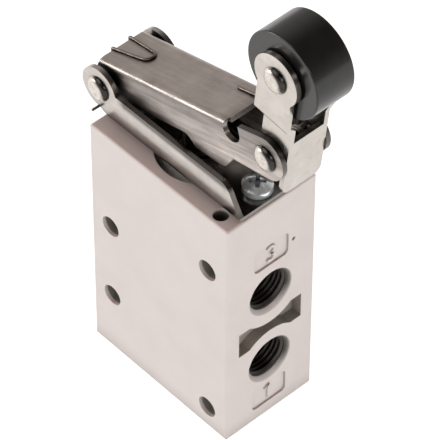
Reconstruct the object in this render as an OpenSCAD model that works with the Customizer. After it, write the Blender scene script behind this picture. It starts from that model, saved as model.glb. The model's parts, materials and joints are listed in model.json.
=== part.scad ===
// Roller lever air valve: a ported block with a seal-stack spool valve inside, a channel bracket
// on top, and a lever that carries a folding roller yoke. +X faces the two threaded ports, +Z is up,
// and the origin is the middle of the block's base. All sizes are in millimetres and degrees.

/* [Block] */
// Length of the block, from the rear face to the ported face
body_l = 35.5; // [34:0.5:44]
// Thickness of the block, between its two broad faces
body_w = 21; // [20.5:0.5:28]
// Height of the block
body_h = 55; // [54:0.5:64]
// Radius of the block's outer edges
edge_r = 0.5; // [0.2:0.1:1]

/* [Mounting holes] */
// Diameter of the cross holes
mount_hole_d = 4.3; // [3.2:0.1:5]
// Distance between the front and rear columns of holes
mount_span_x = 25.4; // [24:0.2:27]
// Distance between the two rear holes
rear_span_z = 18.3; // [17:0.1:20]
// Distance between the two front holes
front_span_z = 36.6; // [34:0.1:38]
// Diameter of the blind locating hole in the top face
locate_hole_d = 3; // [2:0.1:3.4]
// Depth of the locating hole
locate_hole_depth = 6; // [3:0.5:8]
// Distance of the locating hole from the ported face
locate_from_front = 4.1; // [3:0.1:5]
// Distance of the locating hole from the broad face
locate_from_side = 2.3; // [2.1:0.1:2.6]

/* [Ports] */
// Tapping diameter of the ports
port_tap_d = 8.6; // [6:0.1:9]
// Depth of the tapped length
port_depth = 8; // [5:0.5:8.5]
// Width of the chamfer ring at each mouth
port_chamfer = 0.8; // [0.4:0.1:1.2]
// Diameter of the passage from port to bore
port_passage_d = 4.4; // [3:0.1:5]
// Height of the middle of the port group
port_mid_z = 23.5; // [23:0.25:25]
// Distance between the two front ports
port_span_z = 18; // [17:0.25:19]

/* [Label places] */
// Width of the shallow label recesses on the ported face
label_w = 8.1; // [7:0.1:9]
// Height of the label recesses
label_h = 5.4; // [4:0.1:5.6]
// Depth of the label recesses
label_depth = 0.45; // [0.2:0.05:0.6]
// Corner radius of the label recesses
label_r = 1; // [0.4:0.1:1.6]
// Distance of the upper recess above its port's axis
label_over = 9.9; // [9.6:0.1:10.4]
// Distance of the lower recess below its port's axis
label_under = 8.8; // [8.4:0.1:9.2]
// Diameter of the dimple beside the upper recess
dimple_d = 0.9; // [0.6:0.1:1.2]
// Distance of the dimple from the block's middle plane
dimple_y = 5.3; // [5:0.1:6]

/* [Relief pocket] */
// Width of the waisted pocket between the ports
pocket_w = 15; // [12:0.5:17]
// Height of the pocket at its sides
pocket_h = 5.9; // [4:0.1:7]
// Depth of the pocket
pocket_depth = 2.3; // [1:0.1:3]
// Diameter of the round land left standing around each port
port_land_d = 15.6; // [14:0.2:16.4]

/* [Valve bore] */
// Diameter of the bore that holds the seal stack
bore_d = 12; // [11:0.2:13]
// Diameter of the counterbore that holds the guide bush
guide_bore_d = 17; // [15:0.5:17.5]
// Depth of that counterbore
guide_bore_depth = 8; // [7:0.5:9]
// Diameter of the end plug's screwed part
plug_d = 14; // [13.6:0.2:16]
// Height of the end plug's screwed part
plug_h = 4.2; // [3.5:0.1:5]
// Thickness of the end plug's floor
plug_floor = 2.2; // [1.5:0.1:3]
// Depth of the retaining ring below the block's top face
ring_recess = 1.1; // [0.8:0.1:1.6]
// Thickness of the retaining ring
snap_ring_h = 0.9; // [0.6:0.1:1.2]
// Radial width of the retaining ring
snap_ring_w = 1.5; // [1:0.1:2]

/* [Spool and plunger] */
// Diameter of the spool and of the plunger
spool_d = 7; // [6.4:0.1:7.4]
// Diameter of the spool's two waists
spool_waist_d = 4.4; // [3:0.1:5]
// Length of the upper waist
upper_waist_l = 4; // [3:0.1:4.4]
// Length of the lower waist
lower_waist_l = 4; // [3:0.1:4.2]
// Radius of the plunger's domed head
dome_r = 4; // [3.8:0.1:6]
// Diameter of the stem seal's and static seals' section
small_seal_d = 1.5; // [1.2:0.1:1.6]

/* [Bracket] */
// Thickness of the bracket's sheet
bracket_t = 1; // [0.8:0.1:1.4]
// Height of the side walls above the block
bracket_wall_h = 7; // [6:0.1:7.6]
// Inside bend radius of the bracket
bracket_bend_r = 0.4; // [0.2:0.1:0.8]
// Radius of the ears around the pivot pin
ear_r = 4.3; // [3.8:0.1:4.8]
// Slope of the side walls' front ends, from top to bottom
bracket_front_run = 3.3; // [1:0.1:5]
// Radius of the side walls' upper front corners
bracket_corner_r = 2.4; // [0.5:0.1:2.5]
// Setback of the base's ends from the block's faces
bracket_setback = 0.4; // [0.2:0.1:1]
// Distance of the fixing screws from the block's ends
screw_inset = 3.75; // [3.4:0.05:4.1]
// Thread diameter of the fixing screws
screw_d = 3; // [2.5:0.1:3.5]
// Diameter of the fixing screws' pan heads
screw_head_d = 5.6; // [5:0.1:6]
// Height of the pan heads
screw_head_h = 2; // [1.6:0.1:2.4]
// Depth of the tapped holes for the fixing screws
screw_depth = 8; // [6:0.5:9]

/* [Lever] */
// Overall width of the lever
lever_w = 11; // [10:0.2:12]
// Thickness of the lever's sheet
lever_t = 1; // [0.8:0.1:1.2]
// Inside bend radius of the lever
lever_bend_r = 0.3; // [0.2:0.1:0.6]
// Free side gap between the lever and the bracket's walls
lever_side_gap = 0.9; // [0.4:0.1:1.2]
// Angle of the lever's top plate above level, at rest
lever_tilt = 15.4; // [14:0.2:17]
// Swing of the lever from rest to fully pressed
lever_swing = 9; // [6:0.5:9.5]
// Distance of the pivot pin behind the block's rear face
pivot_overhang = 0.75; // [0.5:0.05:1.5]
// Height of the pivot pin above the block
pivot_rise = 6.1; // [5.6:0.1:6.6]
// Height of the lever's top face above the pivot, square to the plate
plate_rise = 4.8; // [4.4:0.1:5.4]
// Reach of the top plate's rear edge behind the pivot
plate_rear = 0.8; // [0.4:0.1:1.4]
// Length of the top plate in front of the pivot
plate_front = 32.6; // [31:0.2:34]
// Depth of the side walls along the rear half
wall_rear_depth = 7.2; // [6.6:0.1:7.6]
// Depth of the side walls at their rounded lobe in front
wall_front_depth = 10.5; // [10:0.1:10.8]
// Place of the S step between the two depths
wall_step_x = 21.7; // [20:0.1:22.4]
// Radius of the S step's two curves
wall_step_r = 1.6; // [1.2:0.1:1.8]
// Place of the lobe
lobe_x = 29; // [28.6:0.1:29.4]
// Radius of the lobe
lobe_r = 2; // [1.4:0.1:2.4]
// Radius of the lever's ears around the pivot pin
lever_ear_r = 3.2; // [2.8:0.1:3.4]
// Radius of the rounded arm ends around the yoke pin
arm_r = 4.3; // [3.8:0.1:4.6]
// Distance of the yoke pin from the pivot, along the plate
yoke_pin_x = 41.7; // [41:0.1:43]
// Height of the yoke pin above the pivot, square to the plate
yoke_pin_z = 0.85; // [0.6:0.05:1.2]
// Diameter of the rounded notch beside the plate's front edge
notch_d = 4.2; // [3:0.1:4.6]
// Depth of the notch below the plate's top face
notch_depth = 3.8; // [3:0.1:4.2]

/* [Roller yoke] */
// Thickness of the yoke's sheet
yoke_t = 1; // [0.8:0.1:1.2]
// Lean of the yoke towards the front, at rest
yoke_lean = 6.5; // [4:0.5:9]
// Distance between the yoke pin and the roller's axis
yoke_reach = 20.3; // [19.5:0.1:22]
// Width of the yoke's arms
yoke_arm_w = 7.8; // [7:0.1:8.4]
// Radius of the round heads around the roller pin
yoke_head_r = 5; // [4.4:0.1:5.6]
// Radius of the yoke's feet around the yoke pin
yoke_foot_r = 3.6; // [3:0.1:3.9]
// Drop of the front plate below the yoke pin
yoke_plate_drop = 7; // [5:0.1:7.4]
// Height of the front plate above the yoke pin
yoke_plate_rise = 6; // [5:0.1:7]
// Corner radius of the front plate's lower end
yoke_corner_r = 1.6; // [0.8:0.1:2.2]
// Height at which the arms step outwards
joggle_z = 9; // [8.4:0.1:9.6]
// Length of that step
joggle_l = 1.2; // [0.8:0.1:1.6]
// Inside radius of the bend above the step
yoke_bend_r = 0.3; // [0.1:0.1:0.5]
// Side gap between the yoke's feet and the lever's arms
yoke_side_gap = 0.1; // [0.1:0.05:0.4]

/* [Roller] */
// Diameter of the roller
roller_d = 16.6; // [15:0.2:17.4]
// Width of the roller
roller_w = 8.4; // [7.6:0.1:9]
// Radius of the roller's rims
roller_rim_r = 0.3; // [0.2:0.1:1.2]
// Side gap between the roller and the yoke's arms
roller_side_gap = 0.5; // [0.3:0.1:0.8]

/* [Pins] */
// Diameter of the rivet pins
pin_d = 3.2; // [2.8:0.1:3.6]
// Diameter of the rivet heads
rivet_d = 5; // [4.6:0.1:5.8]
// Height of the rivet heads
rivet_h = 0.9; // [0.7:0.1:1.4]
// Diameter of the flat middle of the rivet heads
rivet_flat_d = 2.6; // [2:0.1:3.4]
// Height of the rivet heads' straight rims
rivet_rim = 0.2; // [0.1:0.05:0.4]

/* [Springs] */
// Wire diameter of the lever's and the yoke's torsion springs
wire_d = 0.5; // [0.4:0.05:0.6]
// Wire diameter of the return spring
return_wire_d = 0.6; // [0.5:0.05:0.8]
// Coils in the return spring
return_turns = 7; // [5:1:9]
// Full coils on each side of the lever's spring
lever_spring_turns = 3; // [2:1:3]
// Full coils in the yoke's spring
yoke_spring_turns = 2; // [1:1:4]
// Length of the lever spring's loop that lies on the plate
loop_l = 7.4; // [5:0.2:10]
// Distance between the two legs of that loop at the plate's rear edge
loop_w = 4; // [3:0.2:5]
// Length of the yoke spring's leg that lies on the plate
yoke_leg_l = 5.6; // [4:0.2:7]
// Distance of that leg from the middle plane
yoke_leg_y = 2.5; // [2:0.1:2.8]

/* [Clearances] */
// Radial running clearance of pins, spool and plunger
run_gap = 0.05; // [0.02:0.01:0.08]
// Radial clearance of parts that are screwed, pressed or clamped in place
seat_gap = 0.05; // [0.02:0.01:0.08]
// Gap left between the plunger's dome and the lever
dome_gap = 0.1; // [0.08:0.01:0.15]
// Gap left under wires that lie on a face
wire_gap = 0.03; // [0.01:0.01:0.06]

/* [Hidden] */
$fn = 64;
// Overlap that lets a cut run past the face it opens
cut = 1;
// Sides of a wire's section, and rings in one coil of it
wire_sides = 8;
ring_count = 16;
// Heights of the port group, seals and cages
port_pitch = port_span_z / 2;
seal_d = (bore_d - spool_d) / 2 - run_gap - seat_gap;
seal_mid_r = spool_d / 2 + run_gap + seal_d / 2;
seal_z = [for (i = [0:3]) port_mid_z + (i - 1.5) * port_pitch];
stack_bottom = seal_z[0] - seal_d / 2 - seat_gap;
stack_top = seal_z[3] + seal_d / 2 + seat_gap;
cage_h = port_pitch - seal_d - 2 * seat_gap;
guide_seat_z = body_h - guide_bore_depth;
guide_top_z = body_h - ring_recess - snap_ring_h - seat_gap;
guide_flange_h = guide_top_z - guide_seat_z;
// Lever frame: pivot axis, underside of the plate, and the plunger's travel
pivot_x = -body_l / 2 - pivot_overhang;
pivot_z = body_h + pivot_rise;
plate_under = plate_rise - lever_t;
dome_z = pivot_z + (plate_under - dome_r - dome_gap) / cos(lever_tilt) - pivot_x * tan(lever_tilt);
stroke = -pivot_x * (tan(lever_tilt) - tan(lever_tilt - lever_swing));
// Spool ends: the plunger stands on the spool inside the guide bush
spool_top_z = guide_seat_z - stroke;
spool_bottom_z = plug_floor + stroke + 2 * return_wire_d;
spring_room_d = spool_d - 1.8;
spring_top_z = spool_bottom_z + port_pitch - seal_d;
return_coil_r = spring_room_d / 2 - return_wire_d / 2 - 5 * wire_gap;
// Bracket and lever half-widths, outwards from the middle plane
bracket_hw = lever_w / 2 + lever_side_gap + bracket_t;
ear_drop = pivot_rise - ear_r;
tab_hw = lever_w / 2 - lever_t;
screw_x = body_l / 2 - screw_inset;
locate_x = body_l / 2 - locate_from_front;
locate_y = locate_from_side - body_w / 2;
// Yoke frame and half-widths
yoke_foot_hw = lever_w / 2 - lever_t - yoke_side_gap;
yoke_arm_hw = roller_w / 2 + roller_side_gap + yoke_t;
yoke_turn = lever_tilt + yoke_lean;
yoke_span_z = yoke_reach + yoke_head_r;
// Coil radius of the two torsion springs on their pins
coil_r = pin_d / 2 + run_gap + 5 * wire_gap + wire_d / 2;
coil_pitch = wire_d + wire_gap;
// Colours as the object shows them
PAINT = [0.85, 0.82, 0.79];
STEEL = [0.72, 0.70, 0.68];
BRIGHT = [0.80, 0.82, 0.86];
BRASS = [0.78, 0.64, 0.36];
ALLOY = [0.70, 0.71, 0.73];
RUBBER = [0.08, 0.08, 0.08];
PLASTIC = [0.10, 0.10, 0.11];

// Places and turns

module on_lever() {
    translate([pivot_x, 0, pivot_z])
        rotate([0, -lever_tilt, 0])
            children();
}

module on_yoke() {
    on_lever()
        translate([yoke_pin_x, 0, yoke_pin_z])
            rotate([0, yoke_turn, 0])
                children();
}

// A drawing in X and Z, given its thickness along Y between two places
module across(y0, y1) {
    translate([0, y1, 0])
        rotate([90, 0, 0])
            linear_extrude(y1 - y0)
                children();
}

// The same drawing on both sides of the middle plane
module both_sides(inner, outer) {
    across(inner, outer) children();
    across(-outer, -inner) children();
}

module rod_y(d, half_l) {
    rotate([90, 0, 0])
        cylinder(d = d, h = 2 * half_l, center = true);
}

function lever_point(x, y, z) = [
    pivot_x + x * cos(lever_tilt) - z * sin(lever_tilt),
    y,
    pivot_z + x * sin(lever_tilt) + z * cos(lever_tilt)
];

function yoke_point(x, y, z) = lever_point(
    yoke_pin_x + x * cos(yoke_turn) + z * sin(yoke_turn),
    y,
    yoke_pin_z - x * sin(yoke_turn) + z * cos(yoke_turn)
);

// Repeated shapes

module round_rect(w, h, r) {
    square([w - 2 * r, h], center = true);
    square([w, h - 2 * r], center = true);
    for (x = [-1, 1], y = [-1, 1])
        translate([x * (w / 2 - r), y * (h / 2 - r)])
            circle(r);
}

// Section of a bent channel: floor on the X axis, walls rising from it
module channel_section(hw, h, t, bend_r) {
    difference() {
        channel_fill(hw, h, bend_r + t);
        translate([0, t])
            channel_fill(hw - t, h, bend_r);
    }
}

module channel_fill(hw, h, r) {
    translate([-hw, r])
        square([2 * hw, h - r]);
    translate([r - hw, 0])
        square([2 * (hw - r), h]);
    for (x = [-1, 1])
        translate([x * (hw - r), r])
            circle(r);
}

// Rivet pin with a low mushroom head on each end
module rivet(half_l) {
    rotate([90, 0, 0])
        rotate_extrude()
            for (side = [0, 1])
                mirror([0, side]) {
                    square([pin_d / 2, half_l + rivet_rim]);
                    translate([0, half_l])
                        rivet_head_section();
                }
}

// Half of a head with a flat middle, a round shoulder and a low rim, seated on the X axis
module rivet_head_section() {
    flat_r = rivet_flat_d / 2;
    run = rivet_d / 2 - flat_r;
    drop = rivet_h - rivet_rim;
    shoulder_r = (run * run + drop * drop) / (2 * drop);
    square([flat_r, rivet_h]);
    intersection() {
        square([rivet_d / 2, rivet_h]);
        translate([flat_r, rivet_h - shoulder_r])
            circle(shoulder_r);
    }
}

module seal_ring(mid_r, d) {
    rotate_extrude()
        translate([mid_r, 0])
            circle(d = d);
}

function unit(v) = v / norm(v);

function path_direction(path, i) =
    unit(path[min(i + 1, len(path) - 1)] - path[max(i - 1, 0)]);

function square_to(v, t) = unit(v - (v * t) * t);

// One direction square to the path at each point, carried along without twist
function carried_normals(path) = [
    for (
        state = [0, square_to([0.31, 0.52, 0.79], path_direction(path, 0))];
        state[0] < len(path);
        state = [state[0] + 1, square_to(state[1], path_direction(path, min(state[0] + 1, len(path) - 1)))]
    ) state[1]
];

// Round wire that follows a list of points
module wire(path, d) {
    normals = carried_normals(path);
    last = len(path) - 1;
    points = [
        for (i = [0:last], j = [0:wire_sides - 1])
            let (a = 360 * j / wire_sides, side = cross(path_direction(path, i), normals[i]))
                path[i] + d / 2 * (cos(a) * normals[i] + sin(a) * side)
    ];
    sides = [
        for (i = [0:last - 1], j = [0:wire_sides - 1])
            let (k = (j + 1) % wire_sides)
                [i * wire_sides + j, (i + 1) * wire_sides + j, (i + 1) * wire_sides + k, i * wire_sides + k]
    ];
    start_cap = [for (j = [0:wire_sides - 1]) j];
    end_cap = [for (j = [0:wire_sides - 1]) (last + 1) * wire_sides - 1 - j];
    polyhedron(points, concat([start_cap], sides, [end_cap]));
}

// Valve block and what it holds

module valve_body() {
    color(PAINT)
        difference() {
            block();
            mounting_holes();
            valve_bore();
            for (side = [-1, 1])
                translate([body_l / 2, 0, port_mid_z + side * port_pitch])
                    port();
            translate([-body_l / 2, 0, port_mid_z])
                rotate([0, 0, 180])
                    port();
            translate([body_l / 2 - pocket_depth, 0, port_mid_z])
                rotate([90, 0, 90])
                    linear_extrude(pocket_depth + cut)
                        pocket_outline();
            label_places();
            for (x = [-1, 1])
                translate([x * screw_x, 0, body_h - screw_depth])
                    cylinder(d = screw_d, h = screw_depth + cut);
            translate([locate_x, locate_y, body_h - locate_hole_depth])
                cylinder(d = locate_hole_d, h = locate_hole_depth + cut);
        }
}

// Block with every outer edge rounded
module block() {
    intersection() {
        linear_extrude(body_h)
            round_rect(body_l, body_w, edge_r);
        translate([0, 0, body_h / 2])
            rotate([90, 0, 0])
                linear_extrude(body_w + cut, center = true)
                    round_rect(body_l, body_h, edge_r);
        translate([0, 0, body_h / 2])
            rotate([90, 0, 90])
                linear_extrude(body_l + cut, center = true)
                    round_rect(body_w, body_h, edge_r);
    }
}

module mounting_holes() {
    for (side = [-1, 1]) {
        translate([-mount_span_x / 2, 0, port_mid_z + side * rear_span_z / 2])
            rod_y(mount_hole_d, body_w / 2 + cut);
        translate([mount_span_x / 2, 0, port_mid_z + side * front_span_z / 2])
            rod_y(mount_hole_d, body_w / 2 + cut);
    }
}

module valve_bore() {
    translate([0, 0, -cut])
        cylinder(d = plug_d, h = plug_h + cut);
    cylinder(d = bore_d, h = body_h);
    translate([0, 0, guide_seat_z])
        cylinder(d = guide_bore_d, h = guide_bore_depth + cut);
    translate([0, 0, guide_top_z])
        cylinder(d = guide_bore_d + snap_ring_w, h = snap_ring_h + 2 * seat_gap);
}

// Tapped port that opens towards +X, with its passage into the bore
module port() {
    rotate([0, 90, 0]) {
        translate([0, 0, -port_chamfer])
            cylinder(d1 = port_tap_d, d2 = port_tap_d + 4 * port_chamfer, h = 2 * port_chamfer);
        translate([0, 0, -port_depth])
            cylinder(d = port_tap_d, h = port_depth);
        translate([0, 0, -body_l / 2])
            cylinder(d = port_passage_d, h = body_l / 2);
    }
}

// Shallow recesses for the port numbers, and the small dimple beside the upper one
module label_places() {
    translate([body_l / 2, 0, port_mid_z + port_pitch + label_over])
        label_recess();
    translate([body_l / 2, 0, port_mid_z - port_pitch - label_under])
        label_recess();
    translate([body_l / 2 - dimple_d / 2, dimple_y, port_mid_z + port_pitch + label_over])
        rotate([0, 90, 0])
            cylinder(d1 = 0, d2 = 2 * dimple_d, h = dimple_d);
}

module label_recess() {
    translate([-label_depth, 0, 0])
        rotate([90, 0, 90])
            linear_extrude(label_depth + cut)
                round_rect(label_w, label_h, label_r);
}

// Waisted pocket: a rectangle less the round lands of the two ports
module pocket_outline() {
    difference() {
        square([pocket_w, pocket_h], center = true);
        for (side = [-1, 1])
            translate([0, side * port_pitch])
                circle(d = port_land_d);
    }
}

module guide_bush() {
    color(BRASS)
        difference() {
            union() {
                translate([0, 0, stack_top])
                    cylinder(d = bore_d - 2 * seat_gap, h = guide_top_z - stack_top);
                translate([0, 0, guide_seat_z])
                    cylinder(d = guide_bore_d - 2 * seat_gap, h = guide_flange_h);
            }
            translate([0, 0, stack_top - cut])
                cylinder(d = spool_d + 2 * run_gap, h = body_h);
            translate([0, 0, guide_seat_z + guide_flange_h / 2]) {
                seal_groove(spool_d / 2 + run_gap, spool_d / 2 + run_gap + small_seal_d);
                seal_groove(guide_bore_d / 2 - seat_gap - small_seal_d, guide_bore_d / 2 + cut);
            }
        }
}

// Ring-shaped cut for a small seal, between two radii
module seal_groove(inner_r, outer_r) {
    rotate_extrude()
        translate([inner_r - seat_gap, -small_seal_d / 2 - seat_gap])
            square([outer_r - inner_r + 2 * seat_gap, small_seal_d + 2 * seat_gap]);
}

module guide_snap_ring() {
    color(STEEL)
        translate([0, 0, guide_top_z + seat_gap])
            difference() {
                cylinder(d = guide_bore_d + snap_ring_w - 2 * seat_gap, h = snap_ring_h);
                translate([0, 0, -cut])
                    cylinder(d = guide_bore_d - snap_ring_w, h = snap_ring_h + 2 * cut);
                translate([-guide_bore_d, -spool_d / 2, -cut])
                    cube([guide_bore_d, spool_d, snap_ring_h + 2 * cut]);
            }
}

module guide_seal() {
    color(RUBBER)
        translate([0, 0, guide_seat_z + guide_flange_h / 2])
            seal_ring(guide_bore_d / 2 - seat_gap - small_seal_d / 2, small_seal_d);
}

module stem_seal() {
    color(RUBBER)
        translate([0, 0, guide_seat_z + guide_flange_h / 2])
            seal_ring(spool_d / 2 + run_gap + small_seal_d / 2, small_seal_d);
}

module spool_seals() {
    color(RUBBER)
        for (z = seal_z)
            translate([0, 0, z])
                seal_ring(seal_mid_r, seal_d);
}

// Spacer cages between the seals, each open to its port through a ring of holes
module spool_cages() {
    holes = 6;
    color(ALLOY)
        for (i = [-1:1])
            translate([0, 0, port_mid_z + i * port_pitch])
                difference() {
                    cylinder(d = bore_d - 2 * seat_gap, h = cage_h, center = true);
                    cylinder(d = spool_d + seal_d, h = cage_h + cut, center = true);
                    rotate_extrude()
                        translate([bore_d / 2 - seal_d / 4, -cage_h / 4])
                            square([seal_d, cage_h / 2]);
                    for (k = [0:holes - 1])
                        rotate([0, 90, 360 * k / holes])
                            cylinder(d = cage_h / 3, h = bore_d);
                }
}

module spool() {
    color(STEEL)
        difference() {
            translate([0, 0, spool_bottom_z])
                cylinder(d = spool_d, h = spool_top_z - spool_bottom_z);
            translate([0, 0, spool_bottom_z - cut])
                cylinder(d = spring_room_d, h = spring_top_z - spool_bottom_z + cut);
            spool_waist(seal_z[2] - upper_waist_l / 2, upper_waist_l);
            spool_waist(seal_z[1] + stroke / 3, lower_waist_l);
        }
}

module spool_waist(z, h) {
    translate([0, 0, z])
        rotate_extrude()
            translate([spool_waist_d / 2, 0])
                square([spool_d, h]);
}

module plunger() {
    color(BRIGHT)
        intersection() {
            translate([0, 0, spool_top_z])
                cylinder(d = spool_d, h = dome_z + dome_r - spool_top_z);
            union() {
                cylinder(d = spool_d + cut, h = dome_z);
                translate([0, 0, dome_z])
                    sphere(dome_r);
            }
        }
}

module return_spring() {
    low = plug_floor + return_wire_d / 2 + wire_gap;
    high = spring_top_z - return_wire_d / 2 - wire_gap;
    steps = return_turns * ring_count;
    color(STEEL)
        wire(
            [for (i = [0:steps])
                let (a = 360 * i / ring_count)
                    [return_coil_r * cos(a), return_coil_r * sin(a), low + (high - low) * i / steps]],
            return_wire_d
        );
}

// Screwed end plug, flush with the base, with two spanner holes
module end_plug() {
    seal_mid_z = (plug_h + stack_bottom) / 2;
    spanner_d = 1.8;
    color(ALLOY)
        difference() {
            union() {
                cylinder(d = plug_d - 2 * seat_gap, h = plug_h);
                cylinder(d = bore_d - 2 * seat_gap, h = stack_bottom);
            }
            translate([0, 0, plug_floor])
                cylinder(d = spool_d + 10 * run_gap, h = stack_bottom);
            translate([0, 0, seal_mid_z])
                seal_groove(bore_d / 2 - seat_gap - small_seal_d, bore_d / 2 + cut);
            for (x = [-1, 1])
                translate([x * (bore_d / 2 - spanner_d), 0, -cut])
                    cylinder(d = spanner_d, h = cut + plug_floor / 2);
        }
}

module plug_seal() {
    color(RUBBER)
        translate([0, 0, (plug_h + stack_bottom) / 2])
            seal_ring(bore_d / 2 - seat_gap - small_seal_d / 2, small_seal_d);
}

// Bracket and its fixings

module lever_bracket() {
    color(STEEL)
        difference() {
            union() {
                intersection() {
                    translate([0, 0, body_h])
                        rotate([90, 0, 90])
                            linear_extrude(3 * body_l, center = true)
                                channel_section(bracket_hw, 3 * pivot_rise, bracket_t, bracket_bend_r);
                    across(-bracket_hw, bracket_hw)
                        bracket_outline();
                }
                translate([bracket_setback - body_l / 2, -tab_hw, body_h])
                    cube([body_l / 2, 2 * tab_hw, bracket_t]);
            }
            translate([0, 0, body_h - cut])
                cylinder(d = spool_d + 2 * lever_t, h = bracket_t + 2 * cut);
            for (x = [-1, 1])
                translate([x * screw_x, 0, body_h - cut])
                    cylinder(d = screw_d + 4 * seat_gap, h = bracket_t + 2 * cut);
            translate([pivot_x, 0, pivot_z])
                rod_y(pin_d + 2 * seat_gap, bracket_hw + cut);
        }
}

// Side wall: flat foot, slanted front end and a round ear at the rear
module bracket_outline() {
    front = body_l / 2 - bracket_setback;
    heel = pivot_x + ear_r;
    slant_h = bracket_wall_h - bracket_t;
    slant_l = norm([bracket_front_run, slant_h]);
    corner_back = bracket_front_run * (slant_h - bracket_corner_r) + bracket_corner_r * slant_l;
    corner = [front - corner_back / slant_h, bracket_wall_h - bracket_corner_r];
    translate([0, body_h]) {
        polygon([
            [heel, 0],
            [front, 0],
            [front, bracket_t],
            corner + [slant_h, bracket_front_run] * bracket_corner_r / slant_l,
            [corner[0], bracket_wall_h],
            [heel, bracket_wall_h],
            [pivot_x, pivot_rise],
            [pivot_x, ear_drop]
        ]);
        translate(corner)
            circle(bracket_corner_r);
    }
    translate([pivot_x, pivot_z])
        circle(ear_r);
}

module bracket_screws() {
    recess_w = screw_d / 4;
    recess_h = 2 * screw_head_h / 3;
    color(BRIGHT)
        for (x = [-1, 1])
            translate([x * screw_x, 0, body_h + bracket_t])
                difference() {
                    union() {
                        intersection() {
                            cylinder(d = screw_head_d, h = screw_head_h);
                            translate([0, 0, screw_head_h - screw_head_d])
                                sphere(screw_head_d);
                        }
                        translate([0, 0, cut - screw_depth - bracket_t])
                            cylinder(d = screw_d - 2 * seat_gap, h = screw_depth + bracket_t - cut);
                    }
                    for (turn = [0, 90])
                        translate([0, 0, screw_head_h])
                            rotate([0, 0, turn + 45])
                                cube([screw_d, recess_w, 2 * recess_h], center = true);
                }
}

module lever_pivot_pin() {
    color(BRIGHT)
        translate([pivot_x, 0, pivot_z])
            rivet(bracket_hw);
}

// Lever

module lever() {
    color(STEEL)
        on_lever()
            difference() {
                union() {
                    intersection() {
                        translate([0, 0, plate_rise])
                            rotate([-90, 0, 90])
                                linear_extrude(2 * plate_front, center = true)
                                    channel_section(lever_w / 2, 3 * plate_rise, lever_t, lever_bend_r);
                        across(-lever_w / 2, lever_w / 2)
                            lever_outline();
                    }
                    both_sides(lever_w / 2 - lever_t, lever_w / 2)
                        intersection() {
                            lever_outline();
                            translate([plate_front, -plate_rise])
                                square([yoke_pin_x, 3 * plate_rise]);
                        }
                }
                both_sides(lever_w / 2 - lever_t - lever_bend_r, lever_w)
                    lever_notch();
                rod_y(pin_d + 2 * run_gap, lever_w);
                translate([yoke_pin_x, 0, yoke_pin_z])
                    rod_y(pin_d + 2 * seat_gap, lever_w);
            }
}

// Side of the lever: ear, straight wall, S step, lobe and rounded arm end
module lever_outline() {
    belly_slope = 8;
    s_slope = 50;
    rise_slope = 45;
    rear_low = plate_rise - wall_rear_depth;
    lobe_z = plate_rise - wall_front_depth + lobe_r;
    s_run = wall_step_r * sin(s_slope);
    s_fall = wall_step_r * (1 - cos(s_slope));
    lobe_rear = [lobe_x - lobe_r * sin(belly_slope), lobe_z - lobe_r * cos(belly_slope)];
    lobe_front = [lobe_x + lobe_r * sin(rise_slope), lobe_z - lobe_r * cos(rise_slope)];
    s_low_x = wall_step_x + 3 * s_run / 2;
    belly_z = lobe_rear[1] + (lobe_rear[0] - s_low_x) * tan(belly_slope);
    s_high = [s_low_x - 2 * s_run - (rear_low - belly_z - 2 * s_fall) / tan(s_slope), rear_low];
    arm_low = yoke_pin_z - arm_r + lever_t / 2;
    difference() {
        union() {
            polygon([
                [-plate_rear, plate_rise],
                [plate_front, plate_rise],
                [yoke_pin_x, yoke_pin_z + arm_r],
                [yoke_pin_x, yoke_pin_z - arm_r],
                [lobe_front[0] + (arm_low - lobe_front[1]) / tan(rise_slope), arm_low],
                lobe_front,
                lobe_rear,
                [s_low_x, belly_z],
                [s_low_x - s_run, belly_z + s_fall],
                [s_high[0] + s_run, rear_low - s_fall],
                s_high,
                [0, rear_low],
                [-lever_ear_r, 0]
            ]);
            circle(lever_ear_r);
            translate([lobe_x, lobe_z])
                circle(lobe_r);
            translate([s_low_x, belly_z + wall_step_r])
                circle(wall_step_r);
            translate([yoke_pin_x, yoke_pin_z])
                circle(arm_r);
        }
        translate([s_high[0], rear_low - wall_step_r])
            circle(wall_step_r);
    }
}

// Rounded relief beside the plate's front edge, open upwards
module lever_notch() {
    r = notch_d / 2;
    translate([plate_front + r / 2, plate_rise - notch_depth + r]) {
        circle(r);
        translate([-r / 2, 0])
            square([r + r / 2, plate_rise]);
    }
}

module yoke_pin() {
    color(BRIGHT)
        on_lever()
            translate([yoke_pin_x, 0, yoke_pin_z])
                rivet(lever_w / 2);
}

// Yoke and roller

module roller_yoke() {
    color(STEEL)
        on_yoke()
            difference() {
                union() {
                    intersection() {
                        rotate([90, 0, 90])
                            linear_extrude(3 * yoke_head_r, center = true)
                                yoke_arm_section();
                        across(-yoke_arm_hw, yoke_arm_hw)
                            yoke_side_outline();
                    }
                    yoke_front();
                }
                rod_y(pin_d + 2 * run_gap, lever_w);
                translate([0, 0, yoke_reach])
                    rod_y(pin_d + 2 * seat_gap, lever_w);
            }
}

// Both arms seen from the front: feet close together, a step, then the wider roller arms
module yoke_arm_section() {
    difference() {
        yoke_arm_fill(yoke_foot_hw, joggle_z, yoke_bend_r + yoke_t, 0);
        yoke_arm_fill(yoke_foot_hw - yoke_t, joggle_z + yoke_t / 3, yoke_bend_r, cut);
    }
}

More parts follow.
